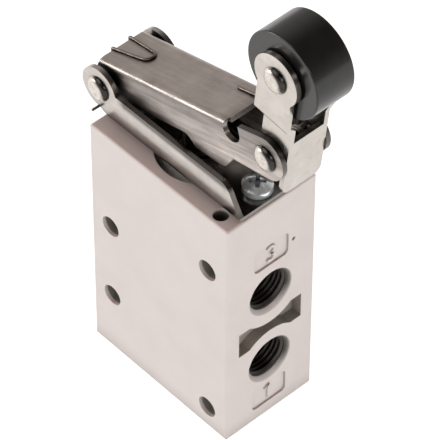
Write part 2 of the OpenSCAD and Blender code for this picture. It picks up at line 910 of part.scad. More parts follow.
// The same form filled to the middle, with a rounded bend where the step ends
module yoke_arm_fill(foot_hw, step_z, r, over) {
    step = yoke_arm_hw - yoke_foot_hw;
    turn = atan2(step, joggle_l);
    lead = r * tan(turn / 2);
    arm_hw = foot_hw + step;
    bend_z = step_z + joggle_l;
    for (side = [0, 1])
        mirror([side, 0]) {
            polygon([
                [0, -yoke_foot_r - over],
                [foot_hw, -yoke_foot_r - over],
                [foot_hw, step_z],
                [arm_hw - lead * sin(turn), bend_z - lead * cos(turn)],
                [arm_hw, bend_z + lead],
                [arm_hw, yoke_span_z + over],
                [0, yoke_span_z + over]
            ]);
            translate([arm_hw - r, bend_z + lead])
                circle(r);
        }
}

// One arm seen from the side: round foot, narrow shank, wider roller arm and round head
module yoke_side_outline() {
    front = yoke_arm_w / 2;
    shank_rear = -yoke_arm_w / 3;
    circle(yoke_foot_r);
    translate([shank_rear, 0])
        square([front - shank_rear, joggle_z + joggle_l]);
    translate([0, -yoke_foot_r])
        square([front, yoke_foot_r]);
    translate([-front, joggle_z])
        square([yoke_arm_w, yoke_reach - joggle_z]);
    translate([0, yoke_reach])
        circle(yoke_head_r);
}

// Front plate that ties the two feet together, with rounded lower corners
module yoke_front() {
    inner_x = yoke_arm_w / 2 - yoke_t;
    translate([inner_x, 0, 0])
        rotate([90, 0, 90])
            linear_extrude(yoke_t) {
                translate([-yoke_foot_hw, yoke_corner_r - yoke_plate_drop])
                    square([2 * yoke_foot_hw, yoke_plate_drop + yoke_plate_rise - yoke_corner_r]);
                translate([yoke_corner_r - yoke_foot_hw, -yoke_plate_drop])
                    square([2 * (yoke_foot_hw - yoke_corner_r), yoke_corner_r]);
                for (side = [-1, 1])
                    translate([side * (yoke_foot_hw - yoke_corner_r), yoke_corner_r - yoke_plate_drop])
                        circle(yoke_corner_r);
            }
}

module roller_pin() {
    color(BRIGHT)
        on_yoke()
            translate([0, 0, yoke_reach])
                rivet(yoke_arm_hw);
}

module roller() {
    color(PLASTIC)
        on_yoke()
            translate([0, 0, yoke_reach])
                rotate([90, 0, 0])
                    rotate_extrude()
                        difference() {
                            union() {
                                translate([0, -roller_w / 2])
                                    square([roller_d / 2 - roller_rim_r, roller_w]);
                                translate([0, roller_rim_r - roller_w / 2])
                                    square([roller_d / 2, roller_w - 2 * roller_rim_r]);
                                for (side = [-1, 1])
                                    translate([roller_d / 2, side * roller_w / 2])
                                        translate([-1, -side] * roller_rim_r)
                                            circle(roller_rim_r);
                            }
                            translate([-roller_d, -roller_w])
                                square([roller_d + pin_d / 2 + run_gap, 2 * roller_w]);
                        }
}

// Torsion springs

// Coil about the Y axis at (x, z) in a frame, from one angle to another, moving along Y
function coil(x, z, from, to, y0, y1) = [
    let (steps = ceil(abs(to - from) * ring_count / 360))
        for (i = [0:steps])
            let (a = from + (to - from) * i / steps)
                [x + coil_r * cos(a), y0 + (y1 - y0) * i / steps, z + coil_r * sin(a)]
];

// One half of the lever's spring: loop on the plate, leg over its rear edge, coils on the pivot pin,
// and a tail that hooks out under the bracket's ear
function lever_spring_half() =
    let (
        rest_z = plate_rise + wire_d / 2 + wire_gap,
        nose_r = loop_w / 3,
        over_x = -plate_rear - wire_d,
        tail_angle = 203,
        coil_end = loop_w / 2 + lever_spring_turns * coil_pitch + coil_pitch / 4,
        nose = [for (a = [0:15:75]) [loop_l - nose_r + nose_r * cos(a), nose_r * sin(a), rest_z]],
        bend = [for (a = [90:22.5:180])
            [over_x + wire_d + wire_d * cos(a), loop_w / 2, rest_z - wire_d + wire_d * sin(a)]],
        turns = coil(0, 0, 180, tail_angle + 360 * lever_spring_turns, loop_w / 2, coil_end)
    )
    concat(nose, [[over_x + 2 * wire_d, loop_w / 2 - wire_gap, rest_z]], bend, turns);

module lever_spring() {
    half = [for (p = lever_spring_half()) lever_point(p[0], p[1], p[2])];
    coil_end = half[len(half) - 1][1];
    tail_x = pivot_x - wire_d / 2;
    tail_z = pivot_z - ear_r - wire_d / 2 - wire_gap;
    tail_out = bracket_hw + 3 * wire_d;
    bend_r = 2 * wire_d;
    tail = concat(
        [for (a = [0:22.5:90])
            [tail_x, coil_end + bend_r * (1 - cos(a)), tail_z + bend_r * (1 - sin(a))]],
        [[tail_x, tail_out, tail_z]]
    );
    side = concat(half, tail);
    other = [for (i = [len(side) - 1:-1:1]) [side[i][0], -side[i][1], side[i][2]]];
    color(STEEL)
        wire(concat(other, side), wire_d);
}

// The yoke's spring: one leg on the lever's plate, coils on the yoke pin, one leg on the yoke's front plate
module yoke_spring() {
    rest_z = plate_rise + wire_d / 2 + wire_gap;
    start_angle = 233;
    end_angle = 360 * (yoke_spring_turns + 1) - yoke_turn;
    end_y = yoke_leg_y - coil_pitch * (end_angle - start_angle) / 360;
    turns = coil(yoke_pin_x, yoke_pin_z, start_angle, end_angle, yoke_leg_y, end_y);
    front_x = yoke_arm_w / 2 - yoke_t - wire_d / 2 - wire_gap;
    on_plate = [for (x = [plate_front - yoke_leg_l, plate_front - yoke_leg_l / 2, plate_front])
        lever_point(x, yoke_leg_y, rest_z)];
    on_front = [for (k = [0.5, 1])
        yoke_point(front_x, end_y, k * yoke_plate_rise)];
    color(STEEL)
        wire(concat(on_plate, [for (p = turns) lever_point(p[0], p[1], p[2])], on_front), wire_d);
}

valve_body();
guide_bush();
guide_snap_ring();
guide_seal();
stem_seal();
spool_seals();
spool_cages();
spool();
plunger();
return_spring();
end_plug();
plug_seal();
lever_bracket();
bracket_screws();
lever_pivot_pin();
lever_spring();
lever();
yoke_pin();
yoke_spring();
roller_yoke();
roller_pin();
roller();
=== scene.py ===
"""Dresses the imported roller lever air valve: finishes, springs, port threads, port numbers and studio."""

from __future__ import annotations

import json
import logging
import math
from dataclasses import dataclass
from enum import Enum

import bmesh
import bpy
from mathutils import Matrix, Vector
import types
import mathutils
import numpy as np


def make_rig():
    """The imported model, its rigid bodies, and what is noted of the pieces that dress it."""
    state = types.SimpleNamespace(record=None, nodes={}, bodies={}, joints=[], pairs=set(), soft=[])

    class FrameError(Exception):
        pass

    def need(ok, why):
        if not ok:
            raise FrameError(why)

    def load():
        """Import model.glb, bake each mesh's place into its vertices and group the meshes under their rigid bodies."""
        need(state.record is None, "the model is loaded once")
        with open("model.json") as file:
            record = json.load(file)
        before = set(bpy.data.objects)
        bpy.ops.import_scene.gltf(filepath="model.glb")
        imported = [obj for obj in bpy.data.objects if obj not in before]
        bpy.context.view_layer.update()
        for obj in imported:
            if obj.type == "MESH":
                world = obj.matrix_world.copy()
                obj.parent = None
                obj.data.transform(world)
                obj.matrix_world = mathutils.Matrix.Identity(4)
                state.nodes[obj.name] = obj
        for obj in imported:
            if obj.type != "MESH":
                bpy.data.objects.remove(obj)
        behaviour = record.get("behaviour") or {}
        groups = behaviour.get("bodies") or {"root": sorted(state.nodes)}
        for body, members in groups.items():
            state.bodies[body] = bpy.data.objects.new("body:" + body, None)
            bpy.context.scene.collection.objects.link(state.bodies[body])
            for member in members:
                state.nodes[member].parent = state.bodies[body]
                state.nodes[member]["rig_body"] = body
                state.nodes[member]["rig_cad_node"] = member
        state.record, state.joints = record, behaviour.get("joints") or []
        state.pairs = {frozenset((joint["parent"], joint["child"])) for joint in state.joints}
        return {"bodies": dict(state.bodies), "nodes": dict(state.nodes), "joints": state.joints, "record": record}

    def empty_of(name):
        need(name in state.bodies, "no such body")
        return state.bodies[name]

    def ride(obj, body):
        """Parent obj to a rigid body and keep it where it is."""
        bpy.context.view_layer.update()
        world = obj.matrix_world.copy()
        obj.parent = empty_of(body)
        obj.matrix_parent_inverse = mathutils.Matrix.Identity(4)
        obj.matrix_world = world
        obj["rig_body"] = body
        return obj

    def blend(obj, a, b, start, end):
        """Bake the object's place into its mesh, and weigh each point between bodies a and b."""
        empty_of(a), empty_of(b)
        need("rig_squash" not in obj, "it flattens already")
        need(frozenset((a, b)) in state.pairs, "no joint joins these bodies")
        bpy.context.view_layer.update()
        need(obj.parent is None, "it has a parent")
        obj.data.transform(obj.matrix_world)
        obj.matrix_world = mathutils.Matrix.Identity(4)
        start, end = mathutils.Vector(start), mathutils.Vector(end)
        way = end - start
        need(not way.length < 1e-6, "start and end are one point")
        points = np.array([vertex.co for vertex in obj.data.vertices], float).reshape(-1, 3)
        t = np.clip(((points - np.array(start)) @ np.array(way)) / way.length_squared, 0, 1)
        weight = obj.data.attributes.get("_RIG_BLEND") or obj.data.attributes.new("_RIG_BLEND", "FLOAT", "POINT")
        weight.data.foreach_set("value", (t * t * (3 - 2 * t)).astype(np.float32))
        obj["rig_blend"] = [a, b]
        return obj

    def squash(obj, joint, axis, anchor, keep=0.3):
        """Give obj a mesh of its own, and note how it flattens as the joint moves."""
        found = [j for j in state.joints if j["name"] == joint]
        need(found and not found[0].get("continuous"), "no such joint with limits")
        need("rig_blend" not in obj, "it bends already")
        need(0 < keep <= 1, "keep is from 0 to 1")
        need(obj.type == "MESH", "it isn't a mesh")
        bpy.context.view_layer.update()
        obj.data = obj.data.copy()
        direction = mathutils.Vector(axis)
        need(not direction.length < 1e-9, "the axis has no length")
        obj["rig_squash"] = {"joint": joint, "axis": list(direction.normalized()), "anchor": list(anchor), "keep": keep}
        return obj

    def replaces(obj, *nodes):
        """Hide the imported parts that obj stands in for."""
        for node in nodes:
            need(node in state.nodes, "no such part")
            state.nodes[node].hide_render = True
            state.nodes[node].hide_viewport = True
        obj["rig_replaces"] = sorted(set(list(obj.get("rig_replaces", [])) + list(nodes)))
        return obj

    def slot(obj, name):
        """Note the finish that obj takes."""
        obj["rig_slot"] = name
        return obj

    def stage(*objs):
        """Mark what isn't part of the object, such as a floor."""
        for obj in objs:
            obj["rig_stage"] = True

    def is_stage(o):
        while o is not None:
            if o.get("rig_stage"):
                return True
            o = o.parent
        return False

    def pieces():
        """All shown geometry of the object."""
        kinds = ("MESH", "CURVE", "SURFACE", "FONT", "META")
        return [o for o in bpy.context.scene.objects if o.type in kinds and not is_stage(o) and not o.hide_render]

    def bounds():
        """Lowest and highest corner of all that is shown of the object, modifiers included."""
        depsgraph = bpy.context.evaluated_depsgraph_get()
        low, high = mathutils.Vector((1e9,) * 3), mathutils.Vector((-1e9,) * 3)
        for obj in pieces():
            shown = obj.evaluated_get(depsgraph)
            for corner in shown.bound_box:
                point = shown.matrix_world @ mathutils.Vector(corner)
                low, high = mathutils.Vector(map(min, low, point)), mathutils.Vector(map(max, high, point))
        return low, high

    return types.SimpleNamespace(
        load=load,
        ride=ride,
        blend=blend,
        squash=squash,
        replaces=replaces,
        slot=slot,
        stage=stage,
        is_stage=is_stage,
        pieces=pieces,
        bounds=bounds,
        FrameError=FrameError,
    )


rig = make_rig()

LOG = logging.getLogger("air_valve")
MM = 0.001
# Degrees between two points of a wound spring.
WIRE_STEP = 22.5
# Where most values of a noise pattern lie.
NOISE_SPAN = (0.3, 0.7)
# How squarely a place faces a broad side, from its edge to the side itself.
BROAD_SPAN = (0.5, 0.9)
# Numbers of the Mix node's two colour inputs and of its colour output.
MIX_FIRST, MIX_SECOND, MIX_RESULT = 6, 7, 2

Pair = tuple[float, float]
Color = tuple[float, float, float]
Point = tuple[float, float, float]
Rows = list[list[bmesh.types.BMVert]]
Socket = bpy.types.NodeSocket


class Body(Enum):
    """The rigid bodies that the scene's own pieces follow."""

    VALVE = "valve"
    LEVER = "lever"
    YOKE = "yoke"


class Slot(Enum):
    """The record's material slots that those pieces take."""

    PAINT = "body_paint"
    SPRING = "spring_steel"


class Face(Enum):
    """The block's two ported faces, by the sign of their outward X direction."""

    FRONT = 1
    REAR = -1


class PortNumber(Enum):
    """The plain numbers beside the two front ports."""

    SUPPLY = "1"
    EXHAUST = "3"


# Places


@dataclass(frozen=True)
class BlockSizes:
    """The block's sizes that its paint, threads and numbers share, in millimetres."""

    half_l: float = 17.75
    half_w: float = 10.5
    half_h: float = 27.5
    port_mid_z: float = 23.5
    port_pitch: float = 9.0
    tap_r: float = 4.3
    mouth_r: float = 5.0


@dataclass(frozen=True)
class LeverFrame:
    """The lever's own frame at rest: X along its top plate, Z square to it, from the pivot pin."""

    pivot_x: float = -18.5
    pivot_z: float = 61.1
    tilt: float = 15.4

    def ways(self) -> tuple[Point, Point]:
        """Gives the frame's two main directions.

        Returns:
            The directions along the plate and square to it, in the row's frame.
        """
        c, s = math.cos(math.radians(self.tilt)), math.sin(math.radians(self.tilt))
        return (c, 0.0, s), (-s, 0.0, c)

    def pivot_along(self, way: Point) -> float:
        """Measures how many millimetres the pivot lies along a direction of the row's frame."""
        return way[0] * self.pivot_x + way[2] * self.pivot_z

    def point(self, x: float, y: float, z: float) -> Vector:
        """Places a point of the lever's frame.

        Args:
            x: Millimetres along the plate.
            y: Millimetres across.
            z: Millimetres square to the plate.

        Returns:
            The point in the row's frame, in metres.
        """
        (c, _, s), _ = self.ways()
        return Vector((self.pivot_x + x * c - z * s, y, self.pivot_z + x * s + z * c)) * MM


@dataclass(frozen=True)
class YokeFrame:
    """The yoke's own frame at rest: Z along its arms, from the yoke pin."""

    lever: LeverFrame = LeverFrame()
    pin_x: float = 41.7
    pin_z: float = 0.85
    lean: float = 6.5

    def point(self, x: float, y: float, z: float) -> Vector:
        """Places a point of the yoke's frame.

        Args:
            x: Millimetres towards the front plate.
            y: Millimetres across.
            z: Millimetres along the arms.

        Returns:
            The point in the row's frame, in metres.
        """
        turn = math.radians(self.lever.tilt + self.lean)
        c, s = math.cos(turn), math.sin(turn)
        return self.lever.point(self.pin_x + x * c + z * s, y, self.pin_z - x * s + z * c)


# Shading


class Shader:
    """A node material under construction, around one principled surface."""

    def __init__(self, name: str) -> None:
        """Starts a material with a surface and an output.

        Args:
            name: Name of the material.
        """
        self.material: bpy.types.Material = bpy.data.materials.new(name)
        self.material.use_nodes = True
        self.tree: bpy.types.NodeTree = self.material.node_tree
        self.tree.nodes.clear()
        output = self.add("ShaderNodeOutputMaterial")
        self.surface: bpy.types.Node = self.add("ShaderNodeBsdfPrincipled")
        self.tree.links.new(self.surface.outputs["BSDF"], output.inputs["Surface"])
        self.coords: Socket = self.result("ShaderNodeTexCoord", "Object", {})

    def add(self, kind: str, **settings: object) -> bpy.types.Node:
        """Adds a node.

        Args:
            kind: Blender's name of the node type.
            settings: Values for the node's own properties.

        Returns:
            The new node.
        """
        node = self.tree.nodes.new(kind)
        for key, value in settings.items():
            setattr(node, key, value)
        return node

    def feed(self, node: bpy.types.Node, key: str | int, value: object) -> None:
        """Gives an input a value, or links a socket to it.

        Args:
            node: The node that takes the input.
            key: The input's name or number.
            value: A socket to link, or a plain value.
        """
        if isinstance(value, Socket):
            self.tree.links.new(value, node.inputs[key])
        else:
            node.inputs[key].default_value = value

    def set(self, **inputs: object) -> None:
        """Sets inputs of the surface, with underscores for the spaces in their names."""
        for key, value in inputs.items():
            self.feed(self.surface, key.replace("_", " "), value)

    def result(self, kind: str, output: str | int, inputs: dict[str | int, object],
               **settings: object) -> Socket:
        """Adds a node, feeds it and gives one of its outputs.

        Args:
            kind: Blender's name of the node type.
            output: The output's name or number.
            inputs: Values or sockets by the input's name or number.
            settings: Values for the node's own properties.

        Returns:
            The output's socket.
        """
        node = self.add(kind, **settings)
        for key, value in inputs.items():
            self.feed(node, key, value)
        return node.outputs[output]

    def math(self, operation: str, a: object, b: object = 0.0) -> Socket:
        """Joins two values or sockets by one of Blender's operations."""
        return self.result("ShaderNodeMath", 0, {0: a, 1: b}, operation=operation)

    def product(self, first: object, *others: object) -> Socket:
        """Multiplies values.

        Args:
            first: The first value or socket.
            others: What it is multiplied by, in order.

        Returns:
            The product's socket.
        """
        for value in others:
            first = self.math("MULTIPLY", first, value)
        return first

    def left(self, share: object) -> Socket:
        """Gives what a share leaves of 1."""
        return self.math("SUBTRACT", 1.0, share)

    def off(self, value: Socket, middle: float) -> Socket:
        """Measures how far a value is from a middle one."""
        return self.math("ABSOLUTE", self.math("SUBTRACT", value, middle))

    def distance(self, a: Socket, b: Socket) -> Socket:
        """Measures how far a place is from an axis, by its two offsets."""
        squares = (self.math("POWER", offset, 2.0) for offset in (a, b))
        return self.math("SQRT", self.math("ADD", *squares))

    def noise(self, size_mm: float, stretch: Point = (1.0, 1.0, 1.0), detail: float = 3.0,
              rough: float = 0.55, turn: float = 0.0) -> Socket:
        """Makes a noise pattern in the row's frame.

        Args:
            size_mm: Size of a typical blotch, in millimetres.
            stretch: How many times longer the blotches are along X, Y and Z.
            detail: Octaves of finer noise.
            rough: Share of each finer octave.
            turn: Degrees by which the pattern's X axis rises.

        Returns:
            The pattern's value socket, around 0.5.
        """
        turned = {"Vector": self.coords, "Rotation": (0.0, math.radians(-turn), 0.0), "Scale": stretch}
        place = self.result("ShaderNodeMapping", 0, turned, vector_type="TEXTURE")
        inputs = {"Vector": place, "Scale": 1.0 / (size_mm * MM), "Detail": detail, "Roughness": rough}
        return self.result("ShaderNodeTexNoise", "Fac", inputs)

    def span(self, source: Socket, low: float, high: float, to_low: object = 0.0,
             to_high: object = 1.0) -> Socket:
        """Maps a value from one span to another, and keeps it inside.

        Args:
            source: The value to map.
            low: Start of the value's span.
            high: End of the value's span.
            to_low: Result at the start, as a value or socket.
            to_high: Result at the end, as a value or socket.

        Returns:
            The mapped value's socket.
        """
        inputs = {"Value": source, "From Min": low, "From Max": high, "To Min": to_low, "To Max": to_high}
        return self.result("ShaderNodeMapRange", "Result", inputs, clamp=True)

    def mix(self, share: object, a: object, b: object) -> Socket:
        """Mixes two colours.

        Args:
            share: Share of the second colour, as a value or socket.
            a: First colour or socket.
            b: Second colour or socket.

        Returns:
            The mixed colour's socket.
        """
        first, second = ((*v, 1.0) if isinstance(v, tuple) else v for v in (a, b))
        inputs = {0: share, MIX_FIRST: first, MIX_SECOND: second}
        return self.result("ShaderNodeMix", MIX_RESULT, inputs, data_type="RGBA")

    def parts(self, vector: Socket) -> list[Socket]:
        """Splits a vector into its X, Y and Z values."""
        return [self.result("ShaderNodeSeparateXYZ", axis, {"Vector": vector}) for axis in "XYZ"]

    def along(self, vector: Socket, way: Point) -> Socket:
        """Measures how far a vector reaches along one direction."""
        return self.result("ShaderNodeVectorMath", "Value", {0: vector, 1: way}, operation="DOT_PRODUCT")

    def normal(self) -> Socket:
        """Gives the direction that the surface faces."""
        return self.result("ShaderNodeNewGeometry", "Normal", {})

    def dim(self, color: Socket, factor: Socket) -> Socket:
        """Multiplies a colour by a value."""
        return self.result("ShaderNodeVectorMath", 0, {0: color, "Scale": factor}, operation="SCALE")

    def openness(self, reach_mm: float) -> Socket:
        """Measures how open a place is within a reach, from 0 in a tight crevice to 1 in the open."""
        return self.result("ShaderNodeAmbientOcclusion", "AO", {"Distance": reach_mm * MM}, samples=8)

    def bump(self, height: Socket, depth_mm: float) -> None:
        """Roughens the surface by a height pattern, whose range of 1 is so many millimetres deep."""
        inputs = {"Distance": depth_mm * MM, "Height": height}
        self.set(Normal=self.result("ShaderNodeBump", "Normal", inputs))


def shades(color: Color, factors: Pair) -> tuple[Color, ...]:
    """Makes a shade of a colour for each factor, lighter above 1 and darker below."""
    return tuple(tuple(min(1.0, c * factor) for c in color) for factor in factors)


# Finishes


@dataclass(frozen=True)
class CastPaint:
    """Matte coat on the cast block, with bare metal in its holes, port mouths and pocket.

    Painted shade darkens its top, its corners, its port mouths and a small pit. Sizes are in millimetres.
    A span says where an effect starts and is full, and a pair of shades or lights gives its two ends.
    """

    name: str = "cast_paint"
    sizes: BlockSizes = BlockSizes()
    coat: Color = (0.66, 0.61, 0.595)
    coat_shades: Pair = (0.965, 1.02)
    cloud_mm: float = 9.0
    cloud_relief: float = 0.6
    grain_mm: float = 0.5
    grain_rough: Pair = (0.50, 0.64)
    relief_mm: float = 0.012
    level: float = 0.38
    speck: Color = (0.495, 0.4575, 0.44625)
    speck_span: Pair = (0.62, 0.75)
    speck_share: float = 0.10
    # Painted shade: faces turned up take a darker, warmer coat, as they get less light than the sides.
    top_shade_coat: Color = (0.67, 0.53, 0.50)
    top_shade_span: Pair = (0.6, 0.9)
    top_shade_share: float = 0.85
    bare: Color = (0.29, 0.265, 0.235)
    bare_shades: Pair = (0.75, 1.3)
    bare_grain_mm: float = 1.2
    bare_stretch: Point = (1.0, 4.0, 1.0)
    bare_metallic: float = 0.35
    # Painted shade in corners and recesses, by how open each place is within a reach; the last pair is its darkest
    # factor on the coat and on bare metal.
    corner_shade_mm: float = 4.0
    corner_shade_span: Pair = (0.35, 0.95)
    corner_shade_lows: Pair = (0.66, 0.58)
    coat_depth_mm: float = 0.60
    coat_fade_mm: float = 0.20
    mouth_span_mm: Pair = (0.1, -0.15)
    # Painted light and shade in the port mouths: faces turned up to the light keep more coat and less painted shade.
    lit_way: Point = (0.0, 0.5, 0.85)
    lit_span: Pair = (-0.15, 0.5)
    lit_side_share: float = 0.25
    # Painted shade in the port mouths, darkest towards the thread.
    mouth_shade_inside_mm: float = 0.2
    mouth_shade_outside_mm: float = 0.05
    mouth_shade_low: float = 0.2
    pocket_half_mm: Pair = (7.5, 2.95)
    pocket_margin_mm: float = 0.04
    pocket_span_mm: Pair = (-0.02, -0.12)
    pocket_lift: float = 0.5
    # Painted shade of a small pit in the front face: a dark dot.
    dimple_mm: Pair = (5.3, 42.4)
    dimple_r_mm: float = 0.5
    dimple_dark: float = 0.85

    def material(self) -> bpy.types.Material:
        """Builds the paint.

        Returns:
            The finished material.
        """
        s = Shader(self.name)
        cloud = s.noise(self.cloud_mm, detail=4.0)
        grain = s.noise(self.grain_mm, detail=2.0)
        coat = s.mix(s.span(cloud, *NOISE_SPAN), *shades(self.coat, self.coat_shades))
        specks = s.span(grain, *self.speck_span, 0.0, self.speck_share)
        coat = s.mix(specks, coat, self.speck)
        # Painted shade on faces turned up: a darker, warmer coat.
        top = s.span(s.along(s.normal(), (0.0, 0.0, 1.0)), *self.top_shade_span, 0.0, self.top_shade_share)
        coat = s.mix(top, coat, self.top_shade_coat)
        bare = s.mix(s.noise(self.bare_grain_mm, self.bare_stretch), *shades(self.bare, self.bare_shades))
        inside, light = self.uncoated(s)
        # Painted shade in corners and recesses, darker on bare metal.
        corner = s.span(inside, 0.0, 1.0, *self.corner_shade_lows)
        ao_shade = s.span(s.openness(self.corner_shade_mm), *self.corner_shade_span, corner, 1.0)
        s.set(Base_Color=s.dim(s.dim(s.mix(inside, coat, bare), ao_shade), light),
              Metallic=s.product(inside, self.bare_metallic),
              Roughness=s.span(grain, *NOISE_SPAN, *self.grain_rough),
              Specular_IOR_Level=self.level)
        s.bump(s.math("ADD", s.product(cloud, self.cloud_relief), grain), self.relief_mm)
        return s.material

    def uncoated(self, s: Shader) -> tuple[Socket, Socket]:
        """Masks what the coat doesn't reach, and the painted light and shade at each place.

        Args:
            s: The material under construction.

        Returns:
            A value of 1 on bare metal and 0 on the coat, and a factor for the colour: painted shade in the
            mouths and the dimple, lighter in the pocket.
        """
        block = self.sizes
        x, y, z = s.parts(s.coords)
        aside = s.math("ABSOLUTE", y)
        skin = s.math("MAXIMUM", s.math("SUBTRACT", s.math("ABSOLUTE", x), block.half_l * MM),
                      s.math("SUBTRACT", aside, block.half_w * MM))
        skin = s.math("MAXIMUM", skin, s.math("SUBTRACT", s.off(z, block.half_h * MM), block.half_h * MM))
        deep = s.span(skin, -self.coat_depth_mm * MM, -(self.coat_depth_mm + self.coat_fade_mm) * MM)
        front = s.math("GREATER_THAN", x, 0.0)
        beside = s.off(z, block.port_mid_z * MM)
        radius = s.distance(y, s.math("SUBTRACT", beside, s.product(front, block.port_pitch * MM)))
        # Painted light: mouth faces turned up to the light keep more coat and less painted shade.
        shaded_side = s.span(s.along(s.normal(), self.lit_way), *self.lit_span, 1.0, self.lit_side_share)
        mouth = s.product(s.span(radius, *((block.mouth_r + v) * MM for v in self.mouth_span_mm)), shaded_side)
        wide, high = ((half + self.pocket_margin_mm) * MM for half in self.pocket_half_mm)
        pocket = s.product(s.math("LESS_THAN", aside, wide), s.math("LESS_THAN", beside, high), front,
                           s.span(skin, *(v * MM for v in self.pocket_span_mm)))
        # Painted shade in the port mouths, darkest towards the thread.
        mouth_light = s.span(radius, (block.tap_r + self.mouth_shade_inside_mm) * MM,
                             (block.mouth_r + self.mouth_shade_outside_mm) * MM, self.mouth_shade_low, 1.0)
        mouth_shade = s.product(s.left(mouth_light), shaded_side)
        # Painted shade of a small pit in the front face: a dark dot.
        offsets = (s.math("SUBTRACT", v, at * MM) for v, at in zip((y, z), self.dimple_mm))
        dot = s.span(s.distance(*offsets), self.dimple_r_mm / 2 * MM, self.dimple_r_mm * MM,
                     self.dimple_dark, 0.0)
        lift = s.math("ADD", 1.0, s.product(pocket, self.pocket_lift))
        light = s.product(s.left(mouth_shade), s.left(s.product(dot, front)), lift)
        return s.math("MAXIMUM", s.math("MAXIMUM", deep, mouth), pocket), light


@dataclass(frozen=True)
class Grade:
    """A painted light or shade that changes evenly along one direction of the row's frame."""

    along: Point = (0.0, 0.0, 1.0)
    from_mm: float = 0.0
    to_mm: float = 1.0
    share_from: float = 1.0
    share_to: float = 1.0

    def share(self, s: Shader) -> Socket:
        """Works out the tone at each place.

        Args:
            s: The material under construction.

        Returns:
            The tone's socket.
        """
        way = s.along(s.coords, self.along)
        return s.span(way, self.from_mm * MM, self.to_mm * MM, self.share_from, self.share_to)


@dataclass(frozen=True)
class Metal:
    """A bare or plated metal with a fine directional grain, faint handling marks and painted shade in its crevices.

    Painted light and shade change its tone: by `grade` everywhere, by `edges` on what doesn't face a broad side,
    by `rim` where `rim_run` lets it, and by a painted shade on what faces a set side. `bow` turns its upright
    walls to the sky by some degrees, as a slight bow would, and `streak` darkens drawn lines, mostly on its broad
    sides.
    """

    name: str
    color: Color
    rough: float
    grain_mm: float = 0.18
    grain_stretch: Point = (14.0, 1.0, 14.0)
    grain_depth_mm: float = 0.0005
    blotch: float = 0.10
    blotch_mm: float = 4.5
    blotch_relief: float = 0.8
    soil: Color = (0.16, 0.13, 0.11)
    soil_share: float = 0.18
    soil_span: Pair = (0.56, 0.74)
    soil_fineness: float = 0.4
    wear_shares: Pair = (0.65, 0.35)
    wear_span: Pair = (0.35, 0.65)
    wear_rough: Pair = (0.8, 1.25)
    metallic: float = 1.0
    # Painted shade in crevices, by how open each place is within a reach.
    crevice_shade: float = 0.6
    crevice_shade_mm: float = 3.0
    crevice_shade_span: Pair = (0.3, 0.95)
    bow: float = 0.0
    turn: float = 0.0
    streak: float = 0.0
    streak_mm: float = 0.8
    streak_stretch: Point = (16.0, 1.0, 1.0)
    streak_span: Pair = (0.42, 0.6)
    streak_least: float = 0.3
    # Painted light and shade: tones by place, on edges, and at the rim.
    grade: Grade = Grade()
    edges: Grade = Grade()
    rim: Grade = Grade()
    rim_run: Grade = Grade()
    # Painted shade on what faces one side, such as the rivet heads' shoulders.
    side_shade: float = 0.0
    side_shade_way: Point = (0.8, 0.0, 0.6)
    side_shade_span: Pair = (0.03, 0.32)

    def material(self) -> bpy.types.Material:
        """Builds the metal.

        Returns:
            The finished material.
        """
        s = Shader(self.name)
        grain = s.noise(self.grain_mm, self.grain_stretch, detail=2.0, turn=self.turn)
        cloud = s.noise(self.blotch_mm, detail=4.0, rough=0.6)
        lines = s.noise(self.streak_mm, self.streak_stretch, turn=self.turn)
        spots = s.noise(self.blotch_mm * self.soil_fineness, detail=5.0)
        tint = s.mix(s.span(cloud, *NOISE_SPAN), *shades(self.color, (1.0 - self.blotch, 1.0 + self.blotch)))
        drawn = s.product(s.span(lines, *self.streak_span, self.streak, 0.0),
                          s.span(self.facing(s), *BROAD_SPAN, self.streak_least, 1.0))
        tint = s.dim(tint, s.left(drawn))
        tint = s.mix(s.span(spots, *self.soil_span, 0.0, self.soil_share), tint, self.soil)
        wear = s.math("ADD", *(s.product(v, share) for v, share in zip((cloud, grain), self.wear_shares)))
        s.set(Base_Color=s.dim(tint, self.light(s)), Metallic=self.metallic,
              Roughness=s.span(wear, *self.wear_span, *(self.rough * v for v in self.wear_rough)))
        height = s.math("ADD", grain, s.product(cloud, self.blotch_relief))
        lean = math.tan(math.radians(self.bow)) / (self.grain_depth_mm * MM)
        s.bump(s.math("SUBTRACT", height, s.product(s.parts(s.coords)[2], lean)), self.grain_depth_mm)
        return s.material

    @staticmethod
    def facing(s: Shader) -> Socket:
        """Measures how squarely a place faces one of the part's broad sides."""
        return s.math("ABSOLUTE", s.along(s.normal(), (0.0, 1.0, 0.0)))

    def light(self, s: Shader) -> Socket:
        """Works out the painted light and shade on the metal from place to place.

        Args:
            s: The material under construction.

        Returns:
            A factor for the metal's colour.
        """
        # Painted shade in crevices.
        ao_shade = s.span(s.openness(self.crevice_shade_mm), *self.crevice_shade_span, 1.0 - self.crevice_shade, 1.0)
        # Painted light and shade by edge, rim and grade tones.
        flank = s.span(self.facing(s), *BROAD_SPAN)
        edged = s.math("ADD", flank, s.product(s.left(flank), self.edges.share(s)))
        rim = s.product(s.left(self.rim.share(s)), self.rim_run.share(s))
        # Painted shade on what faces one side.
        turned = s.along(s.normal(), self.side_shade_way)
        bright = s.span(turned, *self.side_shade_span, 1.0, 1.0 - self.side_shade)
        return s.product(ao_shade, edged, self.grade.share(s), s.left(rim), bright)


